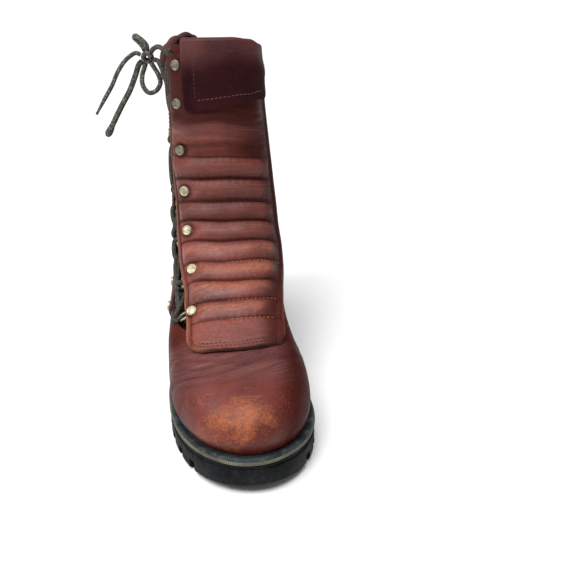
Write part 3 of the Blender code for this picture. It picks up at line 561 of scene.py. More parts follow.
def plain_leather(name, base, deep, rough):
    """Unfinished leather: raw edges and linings, darkened as painted shade where the shade mark is."""
    look = Look(name)
    fibre = look.noise(700.0, 5.0, .65)
    colour = look.mix(fibre.ramp(.3, .7) * .7, tone(*base), tone(*deep))
    colour = look.mix(look.noise(45.0).ramp(.35, .65) * .4, colour, tone(*deep))
    # Painted shade: a dull darker tone where the shade mark is
    shaded_tone = tone(deep[0] * .62, deep[1] * .55, deep[2] * .6)
    return look.finish(look.mix(look.mark("shade"), colour, shaded_tone), rough, (fibre, .5, .0002))


def rubber(name, base, deep, dusty, amount):
    """Moulded rubber with scuffs and dust."""
    look = Look(name)
    broad = look.noise(55.0, 5.0, .6).ramp(.35, .7)
    colour = look.use(DUST, {"Colour": look.mix(broad, tone(*base), tone(*deep)), "Dust": tone(*dusty),
                             "Amount": amount})["Colour"]
    fine = look.noise(1400.0, 3.0, .6) + look.noise(160.0) * 1.5
    return look.finish(colour, broad.ramp(0.0, 1.0, .62, .80), (fine, .4, .00025), **{"Specular IOR Level": .12})


def brass(name, bright, dull):
    """Aged pale brass: tarnish, fine scratches, bright where it is rubbed."""
    look = Look(name)
    stain = look.noise(330.0, 5.0, .65).ramp(.38, .68)
    return look.finish(look.mix(stain, tone(*bright), tone(*dull)), stain.ramp(0.0, 1.0, .42, .60),
                       (look.noise(1900.0, 3.0), .3, .0001), Metallic=.6)


def cord_look(name, base, fleck):
    """Waxed braided lace."""
    look = Look(name)
    weave = look.use(BRAID, {"Strands": 7.0, "Pitch": 1.9})
    # Painted shade: the low parts of the braid between the strands are darker
    colour = look.mix(weave["Height"].ramp(.45, 1.0), tone(*(v * .45 for v in base)), tone(*base))
    return look.finish(look.mix(weave["Fleck"] * .8, colour, tone(*fleck)), .78, (weave["Height"], .8, .0004))


def thread(name, colour):
    """Twisted sewing thread."""
    look = Look(name)
    twist = look.noise(2200.0, 2.0).ramp(.35, .65)
    return look.finish(look.mix(twist, tone(*(v * .55 for v in colour)), tone(*colour)), .8)


def bead_look(name):
    """Pale welt bead with fine cross ribs on its UV map (millimetres along)."""
    look = Look(name)
    rib = look.math("SINE", look.parts(look.place("UV"))[0] * (2 * math.pi / BEAD_RIB)).ramp(-.8, .8)
    colour = look.mix(look.noise(60.0, 5.0, .6).ramp(.35, .7), tone(116, 113, 94), tone(78, 77, 64))
    # Painted shade: the grooves between the ribs are darkened
    return look.finish(look.mix((1.0 - rib) * .6, colour, tone(40, 40, 34)), .8, (rib, .8, .0004))


VAMP = leather("vamp leather", (107, 42, 33), (57, 19, 16), (154, 84, 48), rough=.42, scratch=.3)
PANEL = leather("quilted leather", (130, 62, 49), (49, 19, 18), (166, 94, 60),
                rough=.36, gloss=.42, scratch=.15, wrinkles=.35)
FLAP = leather("flap leather", (84, 41, 39), (31, 11, 16), (120, 70, 58), rough=.44, scratch=.15, gloss=.2)
STAY = leather("stay leather", (84, 38, 35), (50, 21, 21), (132, 76, 50), rough=.46)
COLLAR = leather("collar leather", (82, 37, 35), (50, 21, 21), (128, 76, 54), rough=.46)
RAW_EDGE = plain_leather("raw edge", (148, 92, 54), (88, 48, 28), .8)
LINING = plain_leather("dark lining", (48, 30, 27), (28, 17, 16), .75)
GUSSET = leather("gusset leather", (52, 26, 25), (32, 15, 15), (84, 50, 36), rough=.55, scratch=.1)
BOARD = plain_leather("insole leather", (130, 98, 68), (88, 62, 42), .8)
RUBBER = rubber("sole rubber", (8, 11, 13), (4, 6, 7), (84, 90, 90), .18)
LEDGE = rubber("welt rubber", (46, 54, 57), (26, 31, 33), (126, 130, 126), .42)
BEAD = bead_look("welt bead")
BRASS = brass("aged brass", (180, 174, 148), (132, 122, 94))
# Painted shade: a darker copy of the brass for the upper panel rivets, which sit in shade
SHADED_BRASS = brass("shaded brass", (128, 122, 104), (76, 70, 58))
CORD = cord_look("braided lace", (58, 57, 51), (144, 141, 126))
# Painted shade: a darker copy of the braid for the lace through the loops, which lies in shade in the slot
SHADED_CORD = cord_look("shaded lace braid", (44, 41, 35), (98, 92, 78))
DARK_THREAD = thread("dark thread", (56, 28, 27))
FLAP_THREAD = thread("flap thread", (66, 38, 38))
HEM_THREAD = thread("hem thread", (104, 68, 63))
TAN_THREAD = thread("tan thread", (150, 112, 84))
PALE_THREAD = thread("pale thread", (170, 118, 96))


# ---------------------------------------------------------------- mesh building
def grid_into(form, points, drop=None, marks=None, uv=None, slots=None):
    """Lays a grid of quads through points (rows, columns) inside a bmesh."""
    rows, cols = points.shape[:2]
    layer = form.loops.layers.uv.verify()
    paint = {name: form.verts.layers.float.get(name) or form.verts.layers.float.new(name) for name in marks or {}}
    made = bmesh.ops.create_grid(form, x_segments=cols - 1, y_segments=rows - 1, size=.5)["verts"]
    place = {v: (round((v.co.y + .5) * (rows - 1)), round((v.co.x + .5) * (cols - 1))) for v in made}
    gone = []
    for f in {f for v in made for f in v.link_faces}:
        row, col = (min(place[v][k] for v in f.verts) for k in (0, 1))
        if drop is not None and drop[row, col]:
            gone.append(f)
        if slots is not None:
            f.material_index = int(slots[row, col])
        if uv is not None:
            for corner in f.loops:
                corner[layer].uv = uv[place[corner.vert]]
    for v, (row, col) in place.items():
        v.co = [float(x) * MM for x in points[row, col]]
        for name, field in paint.items():
            v[field] = float(marks[name][row, col])
    if gone:
        bmesh.ops.delete(form, geom=gone, context="FACES")


def mesh_of(name, form):
    mesh = bpy.data.meshes.new(name)
    form.to_mesh(mesh)
    form.free()
    return mesh


def new_piece(name, mesh, materials):
    """Smooth piece that rides on the boot."""
    mesh.shade_smooth()
    for mat in materials:
        mesh.materials.append(mat)
    piece = bpy.data.objects.new(name, mesh)
    scene.collection.objects.link(piece)
    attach(piece, "root")
    return piece


def finish_mesh(name, form, materials, closed=False):
    """Turns a bmesh into a piece, its holes filled if it is a closed solid."""
    bmesh.ops.remove_doubles(form, verts=form.verts, dist=1e-6)
    if closed:
        rim = [e for e in form.edges if e.is_boundary]
        if rim:
            bmesh.ops.holes_fill(form, edges=rim, sides=0)
        bmesh.ops.recalc_face_normals(form, faces=form.faces)
    return new_piece(name, mesh_of(name, form), materials)


def sheet(name, points, materials, **extra):
    form = bmesh.new()
    grid_into(form, points, **extra)
    return finish_mesh(name, form, materials)


def solid(name, grids, materials, **extra):
    form = bmesh.new()
    for points in grids:
        grid_into(form, points, **extra)
    return finish_mesh(name, form, materials, closed=True)


def soften(piece, width, angle=55):
    """Rounds a piece's sharp edges."""
    edge = piece.modifiers.new("edges", "BEVEL")
    edge.width = width * MM
    edge.segments = 2
    edge.limit_method = "ANGLE"
    edge.angle_limit = math.radians(angle)


def thicken(piece, thickness, inner=0, rim=0, round_edge=.35, even=True):
    """Leather thickness behind the outer face, its edges a little rounded."""
    wall = piece.modifiers.new("thickness", "SOLIDIFY")
    wall.thickness = thickness * MM
    wall.offset = -1.0
    wall.use_even_offset = even
    wall.material_offset = inner
    wall.material_offset_rim = rim
    soften(piece, round_edge)


def tube_points(path, radius, sides, closed=False):
    """Round cross-sections carried along a path without twisting, the first column repeated last."""
    tangents = (np.roll(path, -1, axis=0) - np.roll(path, 1, axis=0)) if closed else np.gradient(path, axis=0)
    tangents = unit(tangents)
    side = np.cross(tangents[0], (0.0, 0.0, 1.0))
    if np.linalg.norm(side) < .1:
        side = np.cross(tangents[0], (1.0, 0.0, 0.0))
    turn = np.linspace(0, 2 * math.pi, sides + 1)[:, None]
    loops = []
    for point, along, reach in zip(path, tangents, np.broadcast_to(radius, len(path))):
        side = unit(side - along * side.dot(along))
        loops.append(point + reach * (np.cos(turn) * side + np.sin(turn) * np.cross(along, side)))
    return np.array(loops)


def tube(name, path, radius, sides, mat):
    """Solid round cord along a path, with a UV map of turns and millimetres."""
    spread = np.stack(np.broadcast_arrays(np.linspace(0, 1, sides + 1)[None, :], arc_length(path)[:, None]), axis=-1)
    return solid(name, [tube_points(path, radius, sides)], [mat], uv=spread)


def stitch_template():
    """One stitch: a slim rounded bar along X, ends dipping in."""
    form = bmesh.new()
    bmesh.ops.create_uvsphere(form, u_segments=6, v_segments=5, radius=1.0)
    points = np.array([(v.co.z, v.co.x, v.co.y) for v in form.verts])
    form.verts.index_update()
    faces = [[v.index for v in f.verts] for f in form.faces]
    form.free()
    return points, faces


STITCH_POINTS, STITCH_FACES = stitch_template()


def stitches(name, rows, carrier, mat, pitch=3.0, length=2.2, radius=.36, lift=.05):
    """Sewn rows laid on a piece's surface."""
    tree = BVHTree.FromObject(carrier, bpy.context.evaluated_depsgraph_get())
    points, faces = [], []
    for row in rows:
        spots = resample(row, pitch)
        if len(spots) < 3:
            continue
        for spot, heading in zip(spots, np.gradient(spots, axis=0)):
            hit, normal, index, distance = tree.find_nearest(spot * MM)
            normal = np.array(normal)
            heading = unit(heading - normal * heading.dot(normal))
            side = np.cross(normal, heading)
            shape = (STITCH_POINTS[:, :1] * heading * length / 2 + STITCH_POINTS[:, 1:2] * side * radius
                     + STITCH_POINTS[:, 2:] * normal * radius)
            faces += [[len(points) + k for k in f] for f in STITCH_FACES]
            points += list(np.array(hit) / MM + normal * lift + shape)
    mesh = bpy.data.meshes.new(name)
    mesh.from_pydata([tuple(p * MM) for p in points], [], faces)
    return new_piece(name, mesh, [mat])


# ---------------------------------------------------------------- loose lace
def from_knot(*offsets):
    """Points given by their offsets from the knot."""
    return [KNOT + np.array(o) for o in offsets]


COIL = np.linspace(0, 1, 10)
LOOSE = {
    "lace_knot": ([KNOT + np.array((3.1 * math.cos(11.5 * u), 4.6 * (2 * u - 1), 3.1 * math.sin(11.5 * u)))
                   for u in COIL], "object", "taut"),
    "lace_loop_upper": (from_knot((-2, 2, 4.8), (-3.6, 3.6, 7.8), (-6.6, 5, 11), (-9, 4.8, 13.6), (-7.6, 2, 15.2),
                                  (-4.2, -1, 13.4), (-1.2, -2.6, 10.8), (.3, -2.6, 8.2), (.3, -1.5, 5.6)),
                        "object", "loose"),
    "lace_loop_lower": (from_knot((2.6, -1.5, -4.1), (4.6, -2.8, -7.4), (7.6, -3.5, -13), (8.4, -4, -19),
                                  (4.6, -4, -24.6), (-1.2, -4, -25.6), (-5, -3, -20), (-5, -.8, -13.4),
                                  (-3.2, .9, -8.4), (-1.8, .5, -4.7)), "object", "hanging"),
    "lace_end_a": (from_knot((-5.0, -1.4, 2.0), (-9, -2.4, 3.2), (-16.6, -3, -2), (-23, -3.5, -10.5),
                             (-28, -4, -20), (-34.5, -5, -30), (-41.5, -6, -41)), "bare", "hanging"),
    "lace_end_b": (from_knot((-5.0, 2.9, -3.6), (-7.6, 4.2, -6.6), (-10.6, 3, -14), (-15.5, 1, -24.6),
                             (-22, -1, -35), (-29, -3, -47), (-35.5, -4, -58.5)), "bare", "hanging"),
}


def end_radius(name, share):
    """Lace ends: one drawn to a stiff tip, one fraying out."""
    if name == "lace_end_a":
        return LACE_RADIUS * (.9 - .35 * ease((share - .72) / .28))
    if name == "lace_end_b":
        return LACE_RADIUS * (1.2 + .4 * ease((share - .84) / .08) - .7 * ease((share - .96) / .04))
    return np.full(len(share), LACE_RADIUS)


for name, (route, far_end, lay) in LOOSE.items():
    path = smooth_path(route, 8)
    length = arc_length(path)
    piece = tube(name + "_braid", path, end_radius(name, length / length[-1]), 14, CORD)
    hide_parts(name)

# ---------------------------------------------------------------- upper
# Creases as soft troughs: depth, half width and points across the toe box (x, y, z)
CREASES = (
    (1.15, 2.6, (-40, -93, 44), (-24.6, -105.4, 58), (-7.4, -105.7, 61.5), (12.5, -97.3, 63), (35.8, -89.2, 60.7),
     (44, -80, 48)),
    (.85, 2.2, (-34.4, -92.1, 55.9), (-20, -100.8, 60.9), (-4.7, -97.8, 62.9), (19.5, -89.4, 64), (38, -80, 59)),
    (.7, 2.0, (-33.1, -85.6, 59.2), (-9.7, -94, 63.3), (13.1, -88.5, 64.7), (30, -78, 63)),
    (.55, 2.6, (-30, -112, 54), (-10, -114, 59.5), (10, -108, 60.5), (30, -100, 57)),
    (.5, 2.2, (-43, -76, 46), (-38, -80, 55), (-28, -79, 62)),
    (.5, 2.2, (46, -68, 46), (42, -70, 55), (33, -70, 63)),
)
# Wrinkles of the shaft at the ankle: depth, half width and places (t, a)
WRINKLES = (
    (.9, 4.0, (6.5, 4.12), (6.15, 4.45), (6.5, 4.85)),
    (.8, 4.5, (7.3, 4.15), (7.05, 4.45), (7.35, 4.8)),
    (.6, 4.0, (8.3, 4.2), (8.1, 4.5), (8.35, 4.75)),
    (.8, 4.0, (6.4, .8), (6.1, .5), (6.45, .12)),
    (.7, 4.5, (7.3, .8), (7.1, .5), (7.4, .15)),
)


def fold(points, line, depth, width):
    """Trough with raised banks along a line, fading out at its ends."""
    flat = points.reshape(-1, 3)
    gap = np.linalg.norm(flat[:, None, :] - line[None, :, :], axis=2)
    near = gap.argmin(axis=1)
    reach = gap[np.arange(len(flat)), near]
    fade = np.sin(math.pi * np.clip((near + .5) / len(line), 0, 1)) ** .5
    shape = -depth * bump(reach, width) + .5 * depth * bump(reach - 2.3 * width, 1.1 * width)
    return (shape * fade).reshape(points.shape[:-1])


SLOT_CORNER = SLOT_BOTTOM + .35
RIM_BLEND = 9.8


def slot_front(t):
    """Place of the slot's front edge, narrowing to its rounded lower end."""
    return np.interp(t, (SLOT_BOTTOM, SLOT_CORNER), (1.25, 2.0))


def to_rim(t, a, out):
    """Points of the upper, its top drawn up or down to the rim's own line."""
    rise = np.vectorize(rim_rise)(a) / height_scale(RIM - .3, 3.0)
    t = t + rise * np.clip((t - RIM_BLEND) / (RIM - RIM_BLEND), 0, 1)
    slope = (on_skin(RIM, a, out) - on_skin(RIM - .2, a, out)) / .2
    return on_skin(t, a, out) + slope * np.maximum(t - RIM, 0)[..., None]


def waves(points, size, height):
    """Slow unevenness of hand-lasted leather."""
    x, y, z = (points[..., k] / size for k in range(3))
    return height * (np.sin(1.3 * x + 2.1 * y + .4) * np.sin(1.7 * z - .9 * y + 1.1)
                     + .6 * np.sin(2.9 * x - 1.2 * z + 2.0))


LAP_ROWS = (5.0625, 5.094, 5.125)
upper_t = np.concatenate([np.linspace(.04, SLOT_BOTTOM, 58, endpoint=False),
                          np.linspace(SLOT_BOTTOM, SLOT_CORNER, 8, endpoint=False),
                          np.linspace(SLOT_CORNER, LAP_ROWS[0], 12, endpoint=False), LAP_ROWS,
                          np.linspace(LAP_ROWS[-1], RIM, 70)[1:]])
upper_b = np.concatenate([np.linspace(0, 1, 60, endpoint=False), np.linspace(1, 2, 16, endpoint=False),
                          np.linspace(2, 3, 46, endpoint=False), np.linspace(3, 4, 46, endpoint=False),
                          np.linspace(4, 5, 71)])
T, B = np.meshgrid(upper_t, upper_b, indexing="ij")
edge = slot_front(T)
A = np.where(B < 1, B, np.where(B < 2, 1 + (B - 1) * (edge - 1), np.where(B < 3, edge + (B - 2) * (3 - edge), B)))
bare_skin = on_skin(T, A)
relief = waves(bare_skin, 17.0, .22)
hollow = np.zeros_like(relief)
for depth, width, *points in CREASES:
    step = fold(bare_skin, smooth_path(points, 8), depth, width)
    relief += step
    hollow += np.maximum(0, -step)
for depth, width, *places in WRINKLES:
    line = smooth_path([on_skin(t, a) for t, a in places], 12)
    relief += fold(bare_skin, line, depth, width)
upper_points = to_rim(T, A, relief)

# Rubbed spots of the toe and the creases: centre, size and strength
SCUFFS = (((-8, -141, 46), 15, .66), ((6, -139, 50), 14, .74), ((16, -139, 47), 12, .60), ((0, -146, 41), 13, .60),
          ((9, -131, 55), 12, .46), ((-20, -126, 52), 12, .34), ((-29, -121, 47), 12, .32), ((28, -126, 48), 11, .34),
          ((-37, -108, 41), 10, .28), ((40, -105, 42), 10, .2), ((-18, -139, 40), 12, .45), ((22, -142, 39), 11, .32),
          ((22, -82, 65), 11, .3), ((6, -90, 65), 9, .22))
wear = np.zeros_like(relief)
for centre, size, strength in SCUFFS:
    wear = np.maximum(wear, strength * bump(np.linalg.norm(bare_skin - np.array(centre), axis=2), size))
# Feather line and the lap's edge at the quarters are rubbed too
wear = np.maximum(wear, .25 * ease((.9 - T) / .9))
wear = np.maximum(wear, .45 * bump(T - VAMP_TOP + .06, .05) * (np.abs(A - 2.5) > 1.6))
# Painted sheen over the top of the toe box, where the crease lines also show, kept off the lower toe and fading towards
# the inner side
sheen_and_creases = .9 * np.clip((bare_skin[..., 1] + 122) / 14, 0, 1) * np.clip((-66 - bare_skin[..., 1]) / 10, 0, 1)
sheen_and_creases = sheen_and_creases * ease((T - 1.6) / 1.2) * ease((42 - bare_skin[..., 0]) / 16)
# Painted shade: both sides, the feather line, the creases, the shaft above the lap and a band just above it, and the
# front rim are darkened
side = (bare_skin[..., 0] - 5.0) / 45
shade = (.75 * ease((-side - .45) / .5) + .95 * ease((side - .35) / .45)) * ease((5.0 - T) / .5)
shade += .35 * (T > VAMP_TOP)
shade += .55 * ease((1.3 - T) / 1.1)
shade += np.clip(hollow * .6, 0, .75) + .35 * ease((T - 5.13) / .05) * ease((5.9 - T) / .6)
shade += .5 * ease((T - 10.1) / .4) * (np.abs(A - 2.6) < .8)
slot_cells = (upper_t[:-1, None] > SLOT_BOTTOM - 1e-6) & (upper_b[None, :-1] > .999) & (upper_b[None, :-1] < 1.999)
upper = sheet("upper_leather", upper_points, [VAMP, LINING, RAW_EDGE], drop=slot_cells,
              marks={"wear": wear, "shade": np.clip(shade, 0, 1), "sheen_and_creases": sheen_and_creases,
                     "lane": bare_skin @ np.array((-.24, .55, .94))})
thicken(upper, WALL, inner=1, rim=1, round_edge=.3)
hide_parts("upper")

# ---------------------------------------------------------------- gusset
gusset_t = np.linspace(SLOT_BOTTOM - .25, RIM - .3, 70)
# Two folds across the slot: places round the ring and depths below the skin
gusset_a = np.array((.84, 1.0, 1.2, 1.38, 1.5, 1.62, 1.8, 2.0, 2.14))
gusset_dip = np.array((0, .4, 3.0, 5.5, 3.6, 5.5, 3.0, .4, 0)) + WALL + GAP + 1.0
profile = smooth_path(np.stack([gusset_a, gusset_dip, 0 * gusset_a], axis=1), 5)
slow = .5 * np.sin(gusset_t * 4.1)[:, None] * bump(profile[None, :, 0] - 1.5, .3)
gusset_points = on_skin(gusset_t[:, None], profile[None, :, 0], -profile[None, :, 1] + slow)
gusset = sheet("gusset_leather", gusset_points, [GUSSET])
thicken(gusset, GUSSET_THICK)
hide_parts("gusset")

# ---------------------------------------------------------------- front panel
front_t = np.linspace(PANEL_BOTTOM, RIM, 400)
front_line = on_skin(front_t, 3.0)
front_arc = arc_length(front_line)
front_heading = unit(np.gradient(front_line, axis=0))
PANEL_LENGTH = front_arc[-1]


def row_height(s, a):
    """Height t where the cut at distance s up the front profile crosses place a."""
    here, heading = points_at(s, front_arc, front_line), points_at(s, front_arc, front_heading)
    t_front = np.interp(s, front_arc, front_t)
    rows = np.linspace(max(t_front - 2.2, 0), min(t_front + 2.2, RIM), 90)
    return float(np.interp(0.0, (on_skin(rows, a) - here) @ heading, rows))


# Slant and bow of the panel's rows: shift up the profile at the hem, at each seam and at the rim
SEAM_ROWS = [QUILT_FIRST + QUILT_PITCH * k for k in range(QUILT_COUNT + 1)]
SHIFT_AT = (0, *SEAM_ROWS, PANEL_LENGTH)
SHIFT_OUTER = (5, 2, 4, 7.5, 7, 6.3, 4.6, 1.9, 1.3, 1.0, -6)
SHIFT_MIDDLE = (3.0, .6, .6, 1.0, .8, 1.6, 1.2, -.6, 0, -.3, 0)
SHIFT_INNER = (9.0, 3.2, 4.4, 5.0, 4.5, 4.4, 1.8, -2.2, -3.3, -4.4, -9.5)


def row_place(s, share):
    """Distance up the profile of a panel row at a share of its width."""
    side, middle = (np.interp(s, SHIFT_AT, row) for row in (SHIFT_OUTER if share < .5 else SHIFT_INNER, SHIFT_MIDDLE))
    return s + middle + (side - middle) * float(ease(abs(share - .5) / .38))


def slot_width(t, edge):
    """Distance from a place on one slot edge to the nearest place on the other."""
    heights = np.linspace(SLOT_BOTTOM, RIM, 300)
    return np.linalg.norm(on_skin(heights, 3.0 - edge) - on_skin(t, edge), axis=1).min()


# The panel's outer edge is drawn in at the ankle
DRAWN_AT = (4.2, 4.7, 5.4, 6.7, 7.6, 8.8, 9.6)
DRAWN_IN = (0, 1.4, 4.0, 4.4, 4.0, 1.6, 0)


def overhang(t, edge):
    """How far the panel or the lace stay reaches past its slot edge."""
    reach = PANEL_OVERHANG * ease((slot_width(t, edge) - 11) / 14)
    if edge == 2:
        return reach * ease((t - 4.2) / 1.4) - np.interp(t, DRAWN_AT, DRAWN_IN)
    return reach * ease((t - SLOT_BOTTOM) / .6)


LOW_REACH = 30.0
LOW_ROWS = 32
HEM_ROWS = 60
EDGE_SEAM = 3.4
HEM_SEAM = 6.2
INNER_SEAM = 6.4
coarse_s = np.linspace(0, PANEL_LENGTH, 61)
coarse_w = np.linspace(0, 1, 25)
coarse_t, coarse_a = [], []
for s in coarse_s:
    t = row_height(row_place(s, 0.0), 2.0)
    first = step_from_edge(t, 2, overhang(t, 2))[1]
    places = first + (4.0 - first) * coarse_w
    coarse_a.append(places)
    coarse_t.append([row_height(row_place(s, w), a) for w, a in zip(coarse_w, places)])
coarse_t, coarse_a = np.array(coarse_t), np.array(coarse_a)
side_w = np.array((0, .0015, .004, .008, .013, .02, .028, .037, .047))
panel_w = np.concatenate([side_w, np.linspace(.058, .942, 80), 1 - side_w[::-1]])
panel_rows = np.concatenate([np.linspace(0, LOW_REACH, LOW_ROWS), np.linspace(LOW_REACH, PANEL_LENGTH, 220)[1:]])
# Rounded lower corners: each column starts higher near the sides
panel_wide = arc_length(on_skin(coarse_t[4], coarse_a[4]))[-1]
side_gap = np.minimum(panel_w, 1 - panel_w) * panel_wide
corner = PANEL_CORNER * (1 - np.sqrt(1 - np.clip(1 - side_gap / PANEL_CORNER, 0, 1) ** 2))
S = panel_rows[:, None] + corner[None, :] * np.clip(1 - panel_rows / LOW_REACH, 0, 1)[:, None]
hem = panel_rows[:, None] * (1 - corner[None, :] / LOW_REACH)


def panel_table(table):
    """Values of a coarse table at every point of the panel's grid."""
    columns = np.stack([np.interp(panel_w, coarse_w, line) for line in table])
    return np.stack([np.interp(S[:, k], coarse_s, columns[:, k]) for k in range(len(panel_w))], axis=1)


panel_t, panel_a = panel_table(coarse_t), panel_table(coarse_a)
panel_skin = on_skin(panel_t, panel_a)
from_outer = np.array([arc_length(row) for row in panel_skin])
from_outer[:LOW_ROWS] = from_outer[LOW_ROWS]
from_inner = from_outer[:, -1:] - from_outer
outline = resample(np.concatenate([panel_skin[::-1, 0], panel_skin[0, 1:], panel_skin[1:, -1]]), .3)
lookup = kdtree.KDTree(len(outline))
for k, point in enumerate(outline):
    lookup.insert(point, k)
lookup.balance()
edge_gap = np.array([[lookup.find(point)[2] for point in row] for row in panel_skin[:HEM_ROWS]])

# Pads between the sewn seams, flattened at the sides and round the rivets
channel = (S - QUILT_FIRST) / QUILT_PITCH
quilted = (channel > 0) & (channel < QUILT_COUNT)
phase = np.where(quilted, channel - np.floor(channel), .6)
pad = np.where(quilted, (PANEL_PAD + 1.3) * np.abs(np.sin(math.pi * channel)) ** .66, .35 * PANEL_PAD)
spread = ease((from_outer - EDGE_SEAM) / 7) * ease((from_inner - 6.0) / 12)
seam_gap = np.where(quilted | (np.abs(channel) < .2), np.abs(channel - np.round(channel)) * QUILT_PITCH, 9.0)
pucker = .2 * np.sin(from_outer * 1.25 + 2.1 * np.round(channel)) * bump(seam_gap - 2.2, 1.8)
rivet_places = [step_from_edge(*LOWEST_RIVET)] + [step_from_edge(t, 2, -RIVET_INSIDE) for t in PANEL_ROWS[1:]]
pressed, ringed = np.zeros_like(pad), np.zeros_like(pad)
for t, a in rivet_places:
    reach = np.linalg.norm(panel_skin - on_skin(t, a), axis=2)
    pressed = np.maximum(pressed, bump(np.maximum(0, reach - 4.6), 4.0))
    ringed = np.maximum(ringed, bump(reach - 4.6, 1.3))
swell = pad * (1 + .10 * np.sin(from_outer * .11 + channel * 2.4)) + pucker
height = LAYER + PANEL_THIN + swell * spread * (1 - pressed)
# Rolled inner edge, and grooves of the edge seams
height += .7 * np.sqrt(np.clip(1 - ((from_inner - 2.3) / 2.5) ** 2, 0, 1)) - .45 * bump(from_inner - 5.6, .9)
height -= .28 * bump(from_outer - EDGE_SEAM, .9) * (S > LOW_REACH)
grooves = bump(edge_gap - EDGE_SEAM, .8) + bump(edge_gap - HEM_SEAM, .8) * (hem[:HEM_ROWS] < 9)
height[:HEM_ROWS] -= .3 * grooves * (panel_rows[:HEM_ROWS, None] < 29)
# Wrinkles of the smooth part below the flap: place, slant and depth
for place, slant, depth in ((173, .05, .9), (180, -.03, .7), (190, .06, .9), (197, .0, .5)):
    gap = S - place - slant * (from_outer - 50)
    height += spread * depth * (.7 * bump(gap - 3.4, 2.6) - bump(gap, 2.2))
height += waves(panel_skin, 9.0, .12) - .35 * bump(seam_gap, .9) * spread
# Diagonal puckers that run from the outer edge into the pads
PULLS = np.array((.6, 1.0, .4, 1.0, .3, .2, .3, .2))
pulled = PULLS[np.clip(np.floor(channel), 0, QUILT_COUNT - 1).astype(int)] * quilted
for slope, start in ((.026, .12), (.018, .42)):
    gap = (phase - start - slope * (from_outer - 6)) * QUILT_PITCH
    height += pulled * bump(from_outer - 16, 9.0) * (.45 * bump(gap - 1.6, 1.5) - .55 * bump(gap + .6, 1.2))
panel_points = on_skin(panel_t, panel_a, height)

# Wear on edges and low pads, placed on the upper part of each pad partly as a painted highlight; painted shade in
# seams, round rivets, on the lower part of each pad, up the panel, on the inner side, under the flap and along the
# lower edge
low_pads = 1 - .75 * ease((S - 70) / 60)
panel_wear_and_highlight = np.maximum.reduce(np.broadcast_arrays(
    .5 * bump(from_outer, 1.6), .45 * bump(from_inner, 1.8), .35 * bump(hem, 2.0),
    .58 * bump(phase - .6, .34) * quilted * spread * low_pads))
panel_shade = .6 * bump(seam_gap, .9) * ease((from_outer - 2) / 2) + .5 * bump(from_outer - EDGE_SEAM, 1.6)
panel_shade += .43 * ease((S - 70) / 60) + .5 * ease((48 - from_inner) / 34) * ease((S - 160) / 8)
panel_shade += .8 * ease((22 - from_inner) / 14) + .55 * ringed
panel_shade += np.interp(S, (160, 166, 172, 178, 183, 187, 191, 230), (0, .15, .2, .02, .0, .25, .5, .45))
panel_shade += .36 * ease(1 - phase / .45) * spread + .85 * bump(hem, 1.2) * ease((panel_w - .1) / .25)
# Painted sheen on the pad tops, below the lowest seam and on the fold under the flap; the same mark brings out crease
# lines
panel_sheen_and_creases = spread * (.35 * ease(pad / PANEL_PAD - .3) + .5 * ease((QUILT_FIRST - 2 - S) / 5)
                         + .45 * bump(S - 185, 5.0))
panel_slots = np.where((from_outer < 1.0) & (S < 185), 2, 0)
front_panel = sheet("front_panel_quilted", panel_points, [PANEL, LINING, RAW_EDGE], slots=panel_slots,
                    marks={"wear": panel_wear_and_highlight, "shade": np.clip(panel_shade, 0, .92), "sheen_and_creases": panel_sheen_and_creases,
                           "lane": S})
thicken(front_panel, 2.4, inner=1, rim=2, round_edge=.4, even=False)
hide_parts("front_panel")


def panel_row(row, start, stop):
    """Line across the panel between distances from its outer and inner edges."""
    k = np.abs(panel_rows - row).argmin()
    return panel_points[k][(from_outer[k] >= start) & (from_inner[k] >= stop)]


def panel_rise(distance, table):
    """Line up the panel at a distance from one of its side edges."""
    line = []
    for gaps, row, points in zip(table, panel_rows, panel_points):
        if 16 <= row <= PANEL_LENGTH - 3:
            order = np.argsort(gaps)
            line.append(points_at(distance, gaps[order], points[order]))
    return np.array(line)


def panel_hem(distance, last_row):
    """Line inside the panel's lower edge at one distance from it, round its corners."""
    line = []
    for column, points in zip(edge_gap[:last_row].T, panel_points[:last_row].transpose(1, 0, 2)):
        j = int(np.argmax(column >= distance))
        if j > 0:
            share = (distance - column[j - 1]) / (column[j] - column[j - 1])
            line.append(points[j - 1] * (1 - share) + points[j] * share)
    return np.array(line)


# The low seams' thread is rubbed pale on the inner half
PALE_SEAMS = (0, 1, 3)
seams = [panel_row(row, 3.6, 6.5) for row in SEAM_ROWS]
cuts = [len(seam) // 2 if k in PALE_SEAMS else len(seam) for k, seam in enumerate(seams)]
stitches("quilt_stitches", [seam[:cut] for seam, cut in zip(seams, cuts)],
         front_panel, DARK_THREAD, pitch=3.1, length=2.2, lift=.0)
stitches("quilt_stitches_pale", [seams[k][cuts[k]:] for k in PALE_SEAMS],
         front_panel, PALE_THREAD, pitch=3.1, length=2.3, lift=.1)
stitches("panel_edge_stitches",
         [panel_rise(EDGE_SEAM, from_outer), panel_rise(INNER_SEAM, from_inner),
          panel_hem(EDGE_SEAM, 18), panel_hem(HEM_SEAM, 11), panel_row(212, 4.5, 6)[:12]],
         front_panel, DARK_THREAD, pitch=2.9, length=2.1)


# ---------------------------------------------------------------- lace stay
def stay_width(t):
    return 12.0 + 5.0 * float(ease((t - SLOT_BOTTOM) / 1.5))


def over_lap(t, a):
    """Extra height that lets the stay run down smoothly behind the vamp's step."""
    lap_end = np.clip((VAMP_TOP + .025 - t) * ROW_STEPS, 0, 1)
    return VAMP_STEP * np.maximum(0, 1 - ease((t - VAMP_TOP) / .7) - lap_end) * (1 - ease((a - .85) / .15))


stay_t = np.concatenate([[SLOT_BOTTOM + .02], np.linspace(4.0, RIM - .72, 90)])
